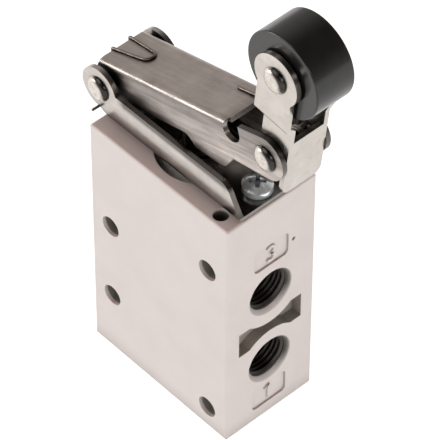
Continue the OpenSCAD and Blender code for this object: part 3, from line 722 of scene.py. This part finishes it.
@dataclass(frozen=True)
class Moulded:
    """A black plastic or rubber with a faint turned or moulded surface."""

    name: str
    color: Color
    rough: float
    grain_mm: float = 0.25
    grain_stretch: Point = (1.0, 6.0, 1.0)
    grain_depth_mm: float = 0.004
    grain_wear: float = 0.4
    cloud_mm: float = 3.0
    cloud_shades: Pair = (0.8, 1.25)
    wear_span: Pair = (0.4, 0.95)
    wear_rough: Pair = (0.88, 1.12)

    def material(self) -> bpy.types.Material:
        """Builds the plastic.

        Returns:
            The finished material.
        """
        s = Shader(self.name)
        grain = s.noise(self.grain_mm, self.grain_stretch, detail=2.0)
        cloud = s.noise(self.cloud_mm, detail=4.0)
        wear = s.math("ADD", cloud, s.product(grain, self.grain_wear))
        s.set(Base_Color=s.mix(s.span(cloud, *NOISE_SPAN), *shades(self.color, self.cloud_shades)),
              Roughness=s.span(wear, *self.wear_span, *(self.rough * v for v in self.wear_rough)))
        s.bump(grain, self.grain_depth_mm)
        return s.material


class Finishes:
    """All finishes of the valve, built once and shared by its pieces."""

    def __init__(self) -> None:
        """Builds every material."""
        self.paint = CastPaint().material()
        self.bracket = self.bracket_sheet().material()
        self.lever = self.lever_sheet().material()
        self.yoke = Metal("yoke_sheet", (0.53, 0.495, 0.455), 0.22, grain_stretch=(1.0, 1.0, 12.0),
                          crevice_shade_mm=2.0).material()
        # The rivet heads take a painted shade on their shoulders that face up and forward.
        self.rivet = Metal("rivet_steel", (0.62, 0.575, 0.53), 0.26, grain_mm=0.12,
                           grain_stretch=(1.0, 5.0, 1.0), blotch_mm=1.2, blotch=0.18, soil_share=0.35,
                           crevice_shade_mm=1.0, side_shade=0.92).material()
        self.zinc = Metal("zinc_plate", (0.86, 0.93, 1.0), 0.12, grain_mm=0.12,
                          grain_stretch=(1.0, 1.0, 4.0), blotch_mm=1.3, soil=(0.06, 0.07, 0.10),
                          soil_share=0.15, metallic=0.7, crevice_shade=0.85, crevice_shade_mm=0.6).material()
        self.wire = Metal("spring_wire", (0.20, 0.175, 0.16), 0.38, grain_mm=0.08,
                          grain_stretch=(1.0, 1.0, 1.0), blotch_mm=1.2, crevice_shade=0.3).material()
        # Near-black metal: the threads' own dark tone, made darker still as painted shade deep in the port bores.
        self.thread = Metal("thread_metal", (0.066, 0.060, 0.056), 0.42, grain_mm=0.1,
                            grain_stretch=(6.0, 1.0, 1.0), blotch_mm=1.5).material()
        self.brass = Metal("turned_brass", (0.52, 0.40, 0.22), 0.26, grain_mm=0.1,
                           grain_stretch=(5.0, 5.0, 1.0), blotch_mm=2.0).material()
        self.alloy = Metal("turned_alloy", (0.66, 0.66, 0.67), 0.28, grain_mm=0.1,
                           grain_stretch=(5.0, 5.0, 1.0), blotch_mm=2.0).material()
        self.blasted = Metal("blasted_alloy", (0.90, 0.86, 0.82), 0.55, grain_mm=0.1,
                             grain_stretch=(1.0, 1.0, 1.0), blotch_mm=1.5, metallic=0.2, crevice_shade=0.84,
                             crevice_shade_mm=2.2).material()
        self.ground = Metal("ground_steel", (0.58, 0.56, 0.54), 0.16, grain_mm=0.08,
                            grain_stretch=(6.0, 6.0, 1.0), blotch_mm=2.0).material()
        self.rubber = Moulded("seal_rubber", (0.018, 0.017, 0.016), 0.55, grain_mm=0.3).material()
        self.roller = Moulded("roller_plastic", (0.009, 0.0085, 0.0085), 0.22).material()

    @staticmethod
    def bracket_sheet() -> Metal:
        """Describes the bracket's sheet, with painted shade at its foot and edges, and at its rim in front.

        Returns:
            The finish.
        """
        return Metal("bracket_sheet", (0.52, 0.485, 0.455), 0.22, crevice_shade=0.72, crevice_shade_mm=5.0, bow=3.5,
                     streak=0.08, grade=Grade(from_mm=56.3, to_mm=57.3, share_from=0.6),
                     edges=Grade(share_from=0.75, share_to=0.75),
                     rim=Grade(from_mm=60.5, to_mm=61.3, share_to=0.3),
                     rim_run=Grade((1.0, 0.0, 0.0), from_mm=-14.0, to_mm=-12.0, share_from=0.0))

    @staticmethod
    def lever_sheet() -> Metal:
        """Describes the lever's sheet, with painted light and shade: its walls darken upwards, and its top
        and edges are lighter at the back and darken towards the yoke.

        Returns:
            The finish.
        """
        lever = LeverFrame()
        ahead, square = lever.ways()
        start, level = lever.pivot_along(ahead), lever.pivot_along(square)
        wall_half, edge_from, edge_to = 4.0, 30.0, 36.5
        return Metal("lever_sheet", (0.43, 0.385, 0.36), 0.34, blotch=0.14, crevice_shade=0.9, crevice_shade_mm=2.5,
                     streak=0.32, turn=lever.tilt,
                     grade=Grade(square, level - wall_half, level + wall_half, 1.56, 0.65),
                     edges=Grade(ahead, start + edge_from, start + edge_to, 1.60, 0.32))


class Dresser:
    """Gives the carried-over solids their finishes."""

    def __init__(self, nodes: dict[str, bpy.types.Object]) -> None:
        """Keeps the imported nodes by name."""
        self.nodes = nodes

    def paint(self, finish: bpy.types.Material, *names: str) -> None:
        """Puts one finish on some nodes.

        Args:
            finish: The material.
            names: Names of the nodes.
        """
        for name in names:
            slots = self.nodes[name].material_slots
            if not slots:
                self.nodes[name].data.materials.append(finish)
            for entry in slots:
                entry.material = finish
            LOG.info("%s: dressed in %s", name, finish.name)


# Meshes


def piece(name: str, mesh: bmesh.types.BMesh, finish: bpy.types.Material,
          smooth: bool = True) -> bpy.types.Object:
    """Turns a mesh under construction into an object of the scene.

    Args:
        name: Name of the object.
        mesh: The mesh, in metres in the row's frame; it is freed.
        finish: The object's material.
        smooth: Whether its faces are shaded smooth.

    Returns:
        The new object.
    """
    bmesh.ops.recalc_face_normals(mesh, faces=mesh.faces)
    data = bpy.data.meshes.new(name)
    mesh.to_mesh(data)
    mesh.free()
    data.polygons.foreach_set("use_smooth", [smooth] * len(data.polygons))
    data.materials.append(finish)
    obj = bpy.data.objects.new(name, data)
    bpy.context.scene.collection.objects.link(obj)
    LOG.info("%s: %d faces", name, len(data.polygons))
    return obj


def join(mesh: bmesh.types.BMesh, rows: Rows, closed: bool = False) -> None:
    """Joins neighbouring rows of points by faces.

    Args:
        mesh: The mesh that holds the points.
        rows: Rows of as many points each.
        closed: Whether each row's last point is joined to its first.
    """
    for a, b in zip(rows, rows[1:]):
        for k in range(len(a) if closed else len(a) - 1):
            n = (k + 1) % len(a)
            mesh.faces.new((a[k], a[n], b[n], b[k]))


def arc(start: float, stop: float, steps: int) -> list[Pair]:
    """Lists points of a circle of radius 1.

    Args:
        start: Angle of the first point, in degrees.
        stop: Angle of the last point, in degrees.
        steps: Number of even steps between them.

    Returns:
        The cosine and sine of each angle.
    """
    angles = (math.radians(start + (stop - start) * i / steps) for i in range(steps + 1))
    return [(math.cos(a), math.sin(a)) for a in angles]


def smoothed(points: list[Vector], steps: int = 4) -> list[Vector]:
    """Draws a smooth curve through points.

    Args:
        points: Points to pass through.
        steps: Pieces between two points.

    Returns:
        Points of the curve.
    """
    out: list[Vector] = []
    for i in range(len(points) - 1):
        p0, p1, p2 = points[max(i - 1, 0)], points[i], points[i + 1]
        p3 = points[min(i + 2, len(points) - 1)]
        reach = (p2 - p1).length
        t1 = (p2 - p0).normalized() * reach
        t2 = (p3 - p1).normalized() * reach
        for k in range(steps):
            t = k / steps
            out.append(p1 * (2 * t ** 3 - 3 * t ** 2 + 1) + t1 * (t ** 3 - 2 * t ** 2 + t)
                       + p2 * (3 * t ** 2 - 2 * t ** 3) + t2 * (t ** 3 - t ** 2))
    out.append(points[-1])
    return out


@dataclass(frozen=True)
class Wire:
    """Round wire that follows a smooth path.

    An end ring is a shift from the path's end and a share of the radius, both in radii. The section's first
    corner is set towards `first_side`, a direction that no spring here starts along.
    """

    radius_mm: float
    sides: int = 14
    end_rings: tuple[Pair, ...] = ((0.0, 0.45), (0.1, 0.75), (0.35, 1.0))
    first_side: Point = (0.31, 0.52, 0.79)

    def swept(self, path: list[Vector]) -> bmesh.types.BMesh:
        """Sweeps the wire's round section along a path, with rounded ends.

        Args:
            path: Points in metres.

        Returns:
            The wire's closed mesh.
        """
        mesh = bmesh.new()
        radius = self.radius_mm * MM
        section = arc(0.0, 360.0, self.sides)[:-1]
        rings: Rows = []
        side = Vector(self.first_side)
        last = len(path) - 1
        for i, at in enumerate(path):
            along = (path[min(i + 1, last)] - path[max(i - 1, 0)]).normalized()
            side = (side - along * side.dot(along)).normalized()
            other = along.cross(side)
            for shift, share in self.rounding(i, last):
                middle = at + along * (shift * radius)
                rings.append([mesh.verts.new(middle + (side * c + other * s) * (radius * share))
                              for c, s in section])
        join(mesh, rings, closed=True)
        mesh.faces.new(rings[0][::-1])
        mesh.faces.new(rings[-1])
        return mesh

    def rounding(self, i: int, last: int) -> list[Pair]:
        """Lists the rings at a point of the path.

        Args:
            i: Number of the path's point.
            last: Number of its last point.

        Returns:
            Each ring's shift along the path and share of the radius, in radii.
        """
        if i == 0:
            return list(self.end_rings)
        if i == last:
            return [(-shift, share) for shift, share in reversed(self.end_rings)]
        return [(0.0, 1.0)]


# Sub-assemblies


@dataclass
class ValveBlock:
    """The cast block with its port threads and the plain numbers in its label recesses.

    The thread's profile is in shares of its pitch and depth, the stroke's in shares of its width and rise.
    The thread starts at a share of a turn, and rises at the mouth so many times faster than it fades inside.
    """

    sizes: BlockSizes = BlockSizes()
    crest_r: float = 3.82
    thread_pitch: float = 0.907
    thread_from: float = 0.78
    thread_to: float = 7.8
    thread_gap: float = 0.012
    thread_start: float = 0.25
    thread_rise: float = 6.0
    thread_steps: int = 56
    thread_profile: tuple[Pair, ...] = (
        (0.0, 1.0), (0.30, 0.30), (0.42, 0.05), (0.58, 0.05), (0.70, 0.30), (1.0, 1.0))
    label_over: float = 9.9
    label_under: float = 8.8
    label_depth: float = 0.45
    digit_h: float = 3.4
    digit_slimness: float = 0.24
    digit_rise: float = 0.40
    stroke_w: float = 0.75
    stroke_profile: tuple[Pair, ...] = ((0.5, 0.0), (0.36, 1.0), (-0.36, 1.0), (-0.5, 0.0))
    bow_steps: int = 16

    def build(self, finishes: Finishes) -> None:
        """Adds the threads and numbers.

        Args:
            finishes: The valve's finishes.
        """
        middle, pitch = self.sizes.port_mid_z, self.sizes.port_pitch
        self.thread(Face.FRONT, middle + pitch, "exhaust", finishes)
        self.thread(Face.FRONT, middle - pitch, "supply", finishes)
        self.thread(Face.REAR, middle, "outlet", finishes)
        self.number(middle + pitch + self.label_over, PortNumber.EXHAUST, finishes)
        self.number(middle - pitch - self.label_under, PortNumber.SUPPLY, finishes)

    def dress(self, dresser: Dresser, finishes: Finishes) -> None:
        """Puts the paint on the block."""
        dresser.paint(finishes.paint, "valve_body")

    def thread(self, face: Face, z: float, port: str, finishes: Finishes) -> None:
        """Winds the look of a pipe thread into a port: one right-hand helical ridge with rounded crests.

        Args:
            face: The ported face.
            z: Height of the port's axis.
            port: The port's name, for the piece's name.
            finishes: The valve's finishes.
        """
        mesh = bmesh.new()
        root_r, steps = self.sizes.tap_r, self.thread_steps
        turns = (self.thread_to - self.thread_from - self.thread_pitch) / self.thread_pitch
        count = int(turns * steps)
        rows: Rows = []
        for i in range(count + 1):
            angle = math.tau * (self.thread_start - face.value * i / steps)
            fade = min(1.0, self.thread_rise * i / steps, (count - i) / steps)
            row = []
            for share, depth in self.thread_profile:
                r = root_r - self.thread_gap - (root_r - self.crest_r) * (1.0 - depth) * fade
                x = self.sizes.half_l - self.thread_from - self.thread_pitch * (i / steps + share)
                at = Vector((face.value * x, r * math.cos(angle), z + r * math.sin(angle)))
                row.append(mesh.verts.new(at * MM))
            rows.append(row)
        join(mesh, rows)
        obj = piece(f"{port}_thread", mesh, finishes.thread)
        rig.slot(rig.ride(obj, Body.VALVE.value), Slot.PAINT.value)

    def number(self, z: float, digit: PortNumber, finishes: Finishes) -> None:
        """Raises a plain number from the floor of a label recess on the front face.

        Args:
            z: Height of the recess's middle.
            digit: The number.
            finishes: The valve's finishes.
        """
        mesh = bmesh.new()
        self.ridge(mesh, z, self.stroke(digit))
        obj = piece(f"port_number_{digit.value}", mesh, finishes.paint, smooth=False)
        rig.slot(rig.ride(obj, Body.VALVE.value), Slot.PAINT.value)

    def stroke(self, digit: PortNumber) -> list[Pair]:
        """Traces the centre line of a plain number.

        Args:
            digit: The number.

        Returns:
            Points across and up from the recess's middle.
        """
        h, w = self.digit_h / 2, self.digit_h * self.digit_slimness
        if digit is PortNumber.SUPPLY:
            return [(-w, h / 2), (0.0, h), (0.0, -h)]
        bows = ((h / 2, 150.0, -90.0), (-h / 2, 90.0, -150.0))
        return [(w * c, middle + h / 2 * s)
                for middle, start, stop in bows for c, s in arc(start, stop, self.bow_steps)]

    def ridge(self, mesh: bmesh.types.BMesh, z: float, line: list[Pair]) -> None:
        """Raises a number's stroke, with sloped sides.

        Args:
            mesh: The number's mesh.
            z: Height of the recess's middle.
            line: The stroke's centre line.
        """
        rows: Rows = []
        last = len(line) - 1
        for i, (y, h) in enumerate(line):
            y0, h0 = line[max(i - 1, 0)]
            y1, h1 = line[min(i + 1, last)]
            length = math.hypot(y1 - y0, h1 - h0)
            ny, nh = -(h1 - h0) / length, (y1 - y0) / length
            row = []
            for side, rise in self.stroke_profile:
                offset = side * self.stroke_w
                x = self.sizes.half_l - self.label_depth + rise * self.digit_rise
                row.append(mesh.verts.new(Vector((x, y + ny * offset, z + h + nh * offset)) * MM))
            rows.append(row)
        join(mesh, rows)
        mesh.faces.new(rows[0])
        mesh.faces.new(rows[-1][::-1])


@dataclass
class SealStack:
    """What the block's bore holds: bush, seals, cages, spool, plunger, return spring and plug."""

    plug_floor: float = 2.2
    spring_top: float = 13.02
    coil_r: float = 2.15
    wire_r: float = 0.3
    wire_gap: float = 0.03
    turns: int = 7
    turn_steps: int = 32
    stroke: float = 3.02

    def build(self, finishes: Finishes) -> None:
        """Winds the return spring in smooth round wire.

        Args:
            finishes: The valve's finishes.
        """
        low = self.plug_floor + self.wire_r + self.wire_gap
        high = self.spring_top - self.wire_r - self.wire_gap
        steps = self.turns * self.turn_steps
        path = [Vector((self.coil_r * c, self.coil_r * s, low + (high - low) * i / steps)) * MM
                for i, (c, s) in enumerate(arc(0.0, 360.0 * self.turns, steps))]
        obj = piece("return_spring_wire", Wire(self.wire_r).swept(path), finishes.wire)
        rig.slot(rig.replaces(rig.ride(obj, Body.VALVE.value), "return_spring"), Slot.SPRING.value)
        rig.squash(obj, "plunger_slide", axis=(0, 0, 1), anchor=(0, 0, self.plug_floor * MM),
                  keep=1.0 - self.stroke / (self.spring_top - self.plug_floor))

    def dress(self, dresser: Dresser, finishes: Finishes) -> None:
        """Puts the finishes on the stack's solids.

        Args:
            dresser: What puts a finish on nodes.
            finishes: The valve's finishes.
        """
        dresser.paint(finishes.rubber, "guide_seal", "stem_seal", "spool_seals", "plug_seal")
        dresser.paint(finishes.blasted, "guide_bush", "guide_snap_ring")
        dresser.paint(finishes.alloy, "end_plug")
        dresser.paint(finishes.ground, "spool", "plunger")
        dresser.paint(finishes.brass, "spool_cages")


@dataclass
class LeverGear:
    """The bracket, lever, their pins and screws, and the torsion spring on the pivot pin."""

    frame: LeverFrame = LeverFrame()
    plate_rise: float = 4.8
    plate_rear: float = 0.8
    wire_d: float = 0.5
    wire_gap: float = 0.03
    coil_r: float = 2.05
    turns: int = 3
    tail_turn: float = 0.25
    tail_angle: float = 203.0
    loop_l: float = 7.4
    loop_w: float = 4.0
    ear_r: float = 4.3
    bracket_hw: float = 7.4

    def half(self) -> list[Vector]:
        """Traces one half of the spring.

        Returns:
            Points from the loop's nose on the plate to the tail's end under the bracket's ear.
        """
        place, wire_d, loop_y = self.frame.point, self.wire_d, self.loop_w / 2
        rest_z = self.plate_rise + wire_d / 2 + self.wire_gap
        nose_r, over_x = self.loop_w / 3, -self.plate_rear - wire_d
        path = [place(self.loop_l - nose_r + nose_r * c, nose_r * s, rest_z) for c, s in arc(0.0, 75.0, 5)]
        path.append(place(over_x + 2 * wire_d, loop_y - self.wire_gap, rest_z))
        path += [place(over_x + wire_d * (1 + c), loop_y, rest_z - wire_d * (1 - s))
                 for c, s in arc(90.0, 180.0, 4)]
        coil_w = (self.turns + self.tail_turn) * (wire_d + self.wire_gap)
        end_angle = self.tail_angle + 360.0 * self.turns
        steps = math.ceil((end_angle - 180.0) / WIRE_STEP)
        path += [place(self.coil_r * c, loop_y + coil_w * i / steps, self.coil_r * s)
                 for i, (c, s) in enumerate(arc(180.0, end_angle, steps))]
        tail_x = self.frame.pivot_x - wire_d / 2
        tail_z = self.frame.pivot_z - self.ear_r - wire_d / 2 - self.wire_gap
        bend = 2 * wire_d
        path += [Vector((tail_x, loop_y + coil_w + bend * (1 - c), tail_z + bend * (1 - s))) * MM
                 for c, s in arc(0.0, 90.0, 4)]
        path.append(Vector((tail_x, self.bracket_hw + 3 * wire_d, tail_z)) * MM)
        return path

    def build(self, finishes: Finishes) -> None:
        """Winds the spring in smooth round wire.

        Args:
            finishes: The valve's finishes.
        """
        half = self.half()
        other = [Vector((p.x, -p.y, p.z)) for p in half[:0:-1]]
        obj = piece("lever_spring_wire", Wire(self.wire_d / 2).swept(smoothed(other + half)), finishes.wire)
        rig.slot(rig.replaces(obj, "lever_spring"), Slot.SPRING.value)
        x, z = self.frame.pivot_x, self.frame.pivot_z
        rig.blend(obj, Body.VALVE.value, Body.LEVER.value, start=(x * MM, 0, (z - self.ear_r) * MM),
                 end=(x * MM, 0, (z + self.ear_r) * MM))

    def dress(self, dresser: Dresser, finishes: Finishes) -> None:
        """Puts the finishes on the gear's solids.

        Args:
            dresser: What puts a finish on nodes.
            finishes: The valve's finishes.
        """
        dresser.paint(finishes.bracket, "lever_bracket")
        dresser.paint(finishes.lever, "lever")
        dresser.paint(finishes.rivet, "lever_pivot_pin", "yoke_pin")
        dresser.paint(finishes.zinc, "bracket_screws")


@dataclass
class RollerYoke:
    """The folding yoke, its roller and pins, and the torsion spring on the yoke pin."""

    frame: YokeFrame = YokeFrame()
    plate_rise: float = 4.8
    plate_front: float = 32.6
    front_rise: float = 6.0
    front_x: float = 2.62
    wire_d: float = 0.5
    wire_gap: float = 0.03
    coil_r: float = 2.05
    turns: int = 2
    start_angle: float = 233.0
    leg_y: float = 2.5
    leg_l: float = 5.6

    def path(self) -> list[Vector]:
        """Traces the spring.

        Returns:
            Points from its leg on the lever's plate, round the pin, to its leg behind the front plate.
        """
        lever, pin_x, pin_z = self.frame.lever, self.frame.pin_x, self.frame.pin_z
        rest_z = self.plate_rise + self.wire_d / 2 + self.wire_gap
        end_angle = 360.0 * (self.turns + 1) - lever.tilt - self.frame.lean
        sweep = end_angle - self.start_angle
        coil_w = (self.wire_d + self.wire_gap) * sweep / 360.0
        path = [lever.point(self.plate_front - self.leg_l * share, self.leg_y, rest_z)
                for share in (1.0, 0.5, 0.0)]
        steps = math.ceil(sweep / WIRE_STEP)
        path += [lever.point(pin_x + self.coil_r * c, self.leg_y - coil_w * i / steps,
                             pin_z + self.coil_r * s)
                 for i, (c, s) in enumerate(arc(self.start_angle, end_angle, steps))]
        path += [self.frame.point(self.front_x, self.leg_y - coil_w, self.front_rise * share)
                 for share in (0.5, 1.0)]
        return path

    def build(self, finishes: Finishes) -> None:
        """Winds the spring in smooth round wire.

        Args:
            finishes: The valve's finishes.
        """
        obj = piece("yoke_spring_wire", Wire(self.wire_d / 2).swept(smoothed(self.path())), finishes.wire)
        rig.slot(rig.replaces(obj, "yoke_spring"), Slot.SPRING.value)
        lever = self.frame.lever
        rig.blend(obj, Body.LEVER.value, Body.YOKE.value,
                 start=lever.point(self.frame.pin_x - self.coil_r, 0, self.frame.pin_z),
                 end=lever.point(self.frame.pin_x + self.coil_r, 0, self.frame.pin_z))

    def dress(self, dresser: Dresser, finishes: Finishes) -> None:
        """Puts the finishes on the yoke's solids.

        Args:
            dresser: What puts a finish on nodes.
            finishes: The valve's finishes.
        """
        dresser.paint(finishes.yoke, "roller_yoke")
        dresser.paint(finishes.rivet, "roller_pin")
        dresser.paint(finishes.roller, "roller")


# Studio


@dataclass(frozen=True)
class SoftBox:
    """One wide studio lamp that looks at the valve, with sizes in metres."""

    name: str
    place: Point
    width: float
    height: float
    watts: float
    color: Color = (1.0, 0.98, 0.96)
    mirrored: bool = True

    def build(self, target: Vector) -> None:
        """Hangs the lamp.

        Args:
            target: The point it looks at.
        """
        lamp = bpy.data.lights.new(self.name, "AREA")
        lamp.shape = "RECTANGLE"
        lamp.size, lamp.size_y = self.width, self.height
        lamp.energy = self.watts
        lamp.color = self.color
        obj = bpy.data.objects.new(self.name, lamp)
        obj.location = self.place
        obj.visible_glossy = self.mirrored
        obj.rotation_euler = (target - Vector(self.place)).to_track_quat("-Z", "Y").to_euler()
        bpy.context.scene.collection.objects.link(obj)


@dataclass
class Studio:
    """The pale floor, the soft light and the camera."""

    camera_place: Point = (0.327822, -0.299382, 0.516523)
    azimuth: float = 47.1948
    elevation: float = 47.2137
    roll: float = 0.2602
    focal_px: float = 3700.0
    image_px: float = 440.0
    sensor_mm: float = 36.0
    clip: Pair = (0.05, 20.0)
    floor_half: float = 3.0
    floor_color: Color = (0.70, 0.70, 0.70)
    floor_shades: Pair = (0.99, 1.0)
    floor_cloud_mm: float = 120.0
    floor_rough: float = 0.9
    floor_glow: float = 0.80
    wall_glow: Color = (0.64, 0.605, 0.58)
    ceiling_glow: Color = (0.085, 0.075, 0.068)
    wall_top: float = 0.10
    ceiling_from: float = 0.60
    ceiling_way: Point = (0.42, -0.30, 0.86)
    lamp_target: Point = (0.0, 0.0, 0.045)
    lamps: tuple[SoftBox, ...] = (
        SoftBox("left_box", (-0.28, -0.78, 0.12), 1.10, 0.24, 1.9, mirrored=False),
        SoftBox("bend_light", (-0.66, -0.62, 0.13), 0.36, 0.16, 2.3),
        SoftBox("right_box", (0.80, -0.10, 0.13), 0.80, 0.24, 3.25, mirrored=False),
        SoftBox("right_strip", (0.80, -0.10, 0.13), 0.80, 0.05, 1.2),
        SoftBox("window", (0.62, -0.50, 0.42), 0.34, 0.18, 1.2),
        SoftBox("sky_box", (-0.30, -0.60, 0.62), 0.60, 0.40, 1.9),
        SoftBox("back_fill", (-0.55, 0.72, 0.14), 1.00, 0.24, 3.2, mirrored=False),
    )

    def build(self) -> None:
        """Builds floor, world, lamps and camera."""
        self.floor()
        self.world()
        for lamp in self.lamps:
            lamp.build(Vector(self.lamp_target))
        self.camera()

    def floor(self) -> None:
        """Lays the pale floor, which keeps the valve's shadow and shows white to the camera and in metal."""
        s = Shader("studio_floor")
        rays = s.add("ShaderNodeLightPath").outputs
        seen = s.math("MAXIMUM", s.math("MAXIMUM", rays["Is Camera Ray"], rays["Is Glossy Ray"]),
                      rays["Is Transmission Ray"])
        cloud = s.noise(self.floor_cloud_mm)
        s.set(Base_Color=s.mix(cloud, *shades(self.floor_color, self.floor_shades)),
              Roughness=self.floor_rough, Emission_Color=(1.0, 1.0, 1.0, 1.0),
              Emission_Strength=s.product(seen, self.floor_glow))
        mesh = bmesh.new()
        corners = [mesh.verts.new((x * self.floor_half, y * self.floor_half, 0.0))
                   for x, y in ((-1, -1), (1, -1), (1, 1), (-1, 1))]
        mesh.faces.new(corners)
        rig.stage(piece("studio_floor", mesh, s.material, smooth=False))

    def world(self) -> None:
        """Surrounds the scene with soft grey walls under a darker ceiling, lower towards the camera."""
        world = bpy.data.worlds.new("studio_world")
        world.use_nodes = True
        tree = world.node_tree
        tree.nodes.clear()
        coords = tree.nodes.new("ShaderNodeTexCoord")
        height = tree.nodes.new("ShaderNodeVectorMath")
        height.operation = "DOT_PRODUCT"
        height.inputs[1].default_value = self.ceiling_way
        ramp = tree.nodes.new("ShaderNodeValToRGB")
        back = tree.nodes.new("ShaderNodeBackground")
        out = tree.nodes.new("ShaderNodeOutputWorld")
        low, high = ramp.color_ramp.elements
        low.position, low.color = self.wall_top, (*self.wall_glow, 1.0)
        high.position, high.color = self.ceiling_from, (*self.ceiling_glow, 1.0)
        tree.links.new(coords.outputs["Generated"], height.inputs[0])
        tree.links.new(height.outputs["Value"], ramp.inputs[0])
        tree.links.new(ramp.outputs[0], back.inputs["Color"])
        tree.links.new(back.outputs[0], out.inputs["Surface"])
        bpy.context.scene.world = world

    def camera(self) -> None:
        """Sets the camera where the photograph was taken."""
        data = bpy.data.cameras.new("photo_camera")
        data.sensor_fit = "HORIZONTAL"
        data.sensor_width = self.sensor_mm
        data.lens = self.focal_px / self.image_px * self.sensor_mm
        data.clip_start, data.clip_end = self.clip
        a, e, r = (math.radians(v) for v in (self.azimuth, self.elevation, self.roll))
        ahead = Vector((-math.sin(a) * math.cos(e), math.cos(a) * math.cos(e), -math.sin(e)))
        level = Vector((math.cos(a), math.sin(a), 0.0))
        rise = level.cross(ahead)
        right = level * math.cos(r) + rise * math.sin(r)
        up = rise * math.cos(r) - level * math.sin(r)
        obj = bpy.data.objects.new("photo_camera", data)
        turn = Matrix((right, up, -ahead)).transposed()
        obj.matrix_world = Matrix.Translation(self.camera_place) @ turn.to_4x4()
        bpy.context.scene.collection.objects.link(obj)
        bpy.context.scene.camera = obj


def plain(box: tuple[Vector, Vector]) -> list[list[float]]:
    """Turns a box into plain lists of numbers."""
    return [[float(v) for v in corner] for corner in box]


def main() -> None:
    """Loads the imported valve, dresses it and sets the studio around it."""
    logging.basicConfig(level=logging.INFO, format="%(name)s: %(message)s")
    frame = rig.load()
    cad_box = plain(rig.bounds())
    bpy.context.scene.view_settings.view_transform = "Standard"
    finishes = Finishes()
    dresser = Dresser(frame["nodes"])
    for part in (ValveBlock(), SealStack(), LeverGear(), RollerYoke()):
        part.build(finishes)
        part.dress(dresser, finishes)
        LOG.info("%s done", type(part).__name__)
    Studio().build()
    with open("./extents.json", "w", encoding="utf-8") as file:
        json.dump({"cad": cad_box, "visual": plain(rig.bounds())}, file)


if __name__ == "__main__":
    main()
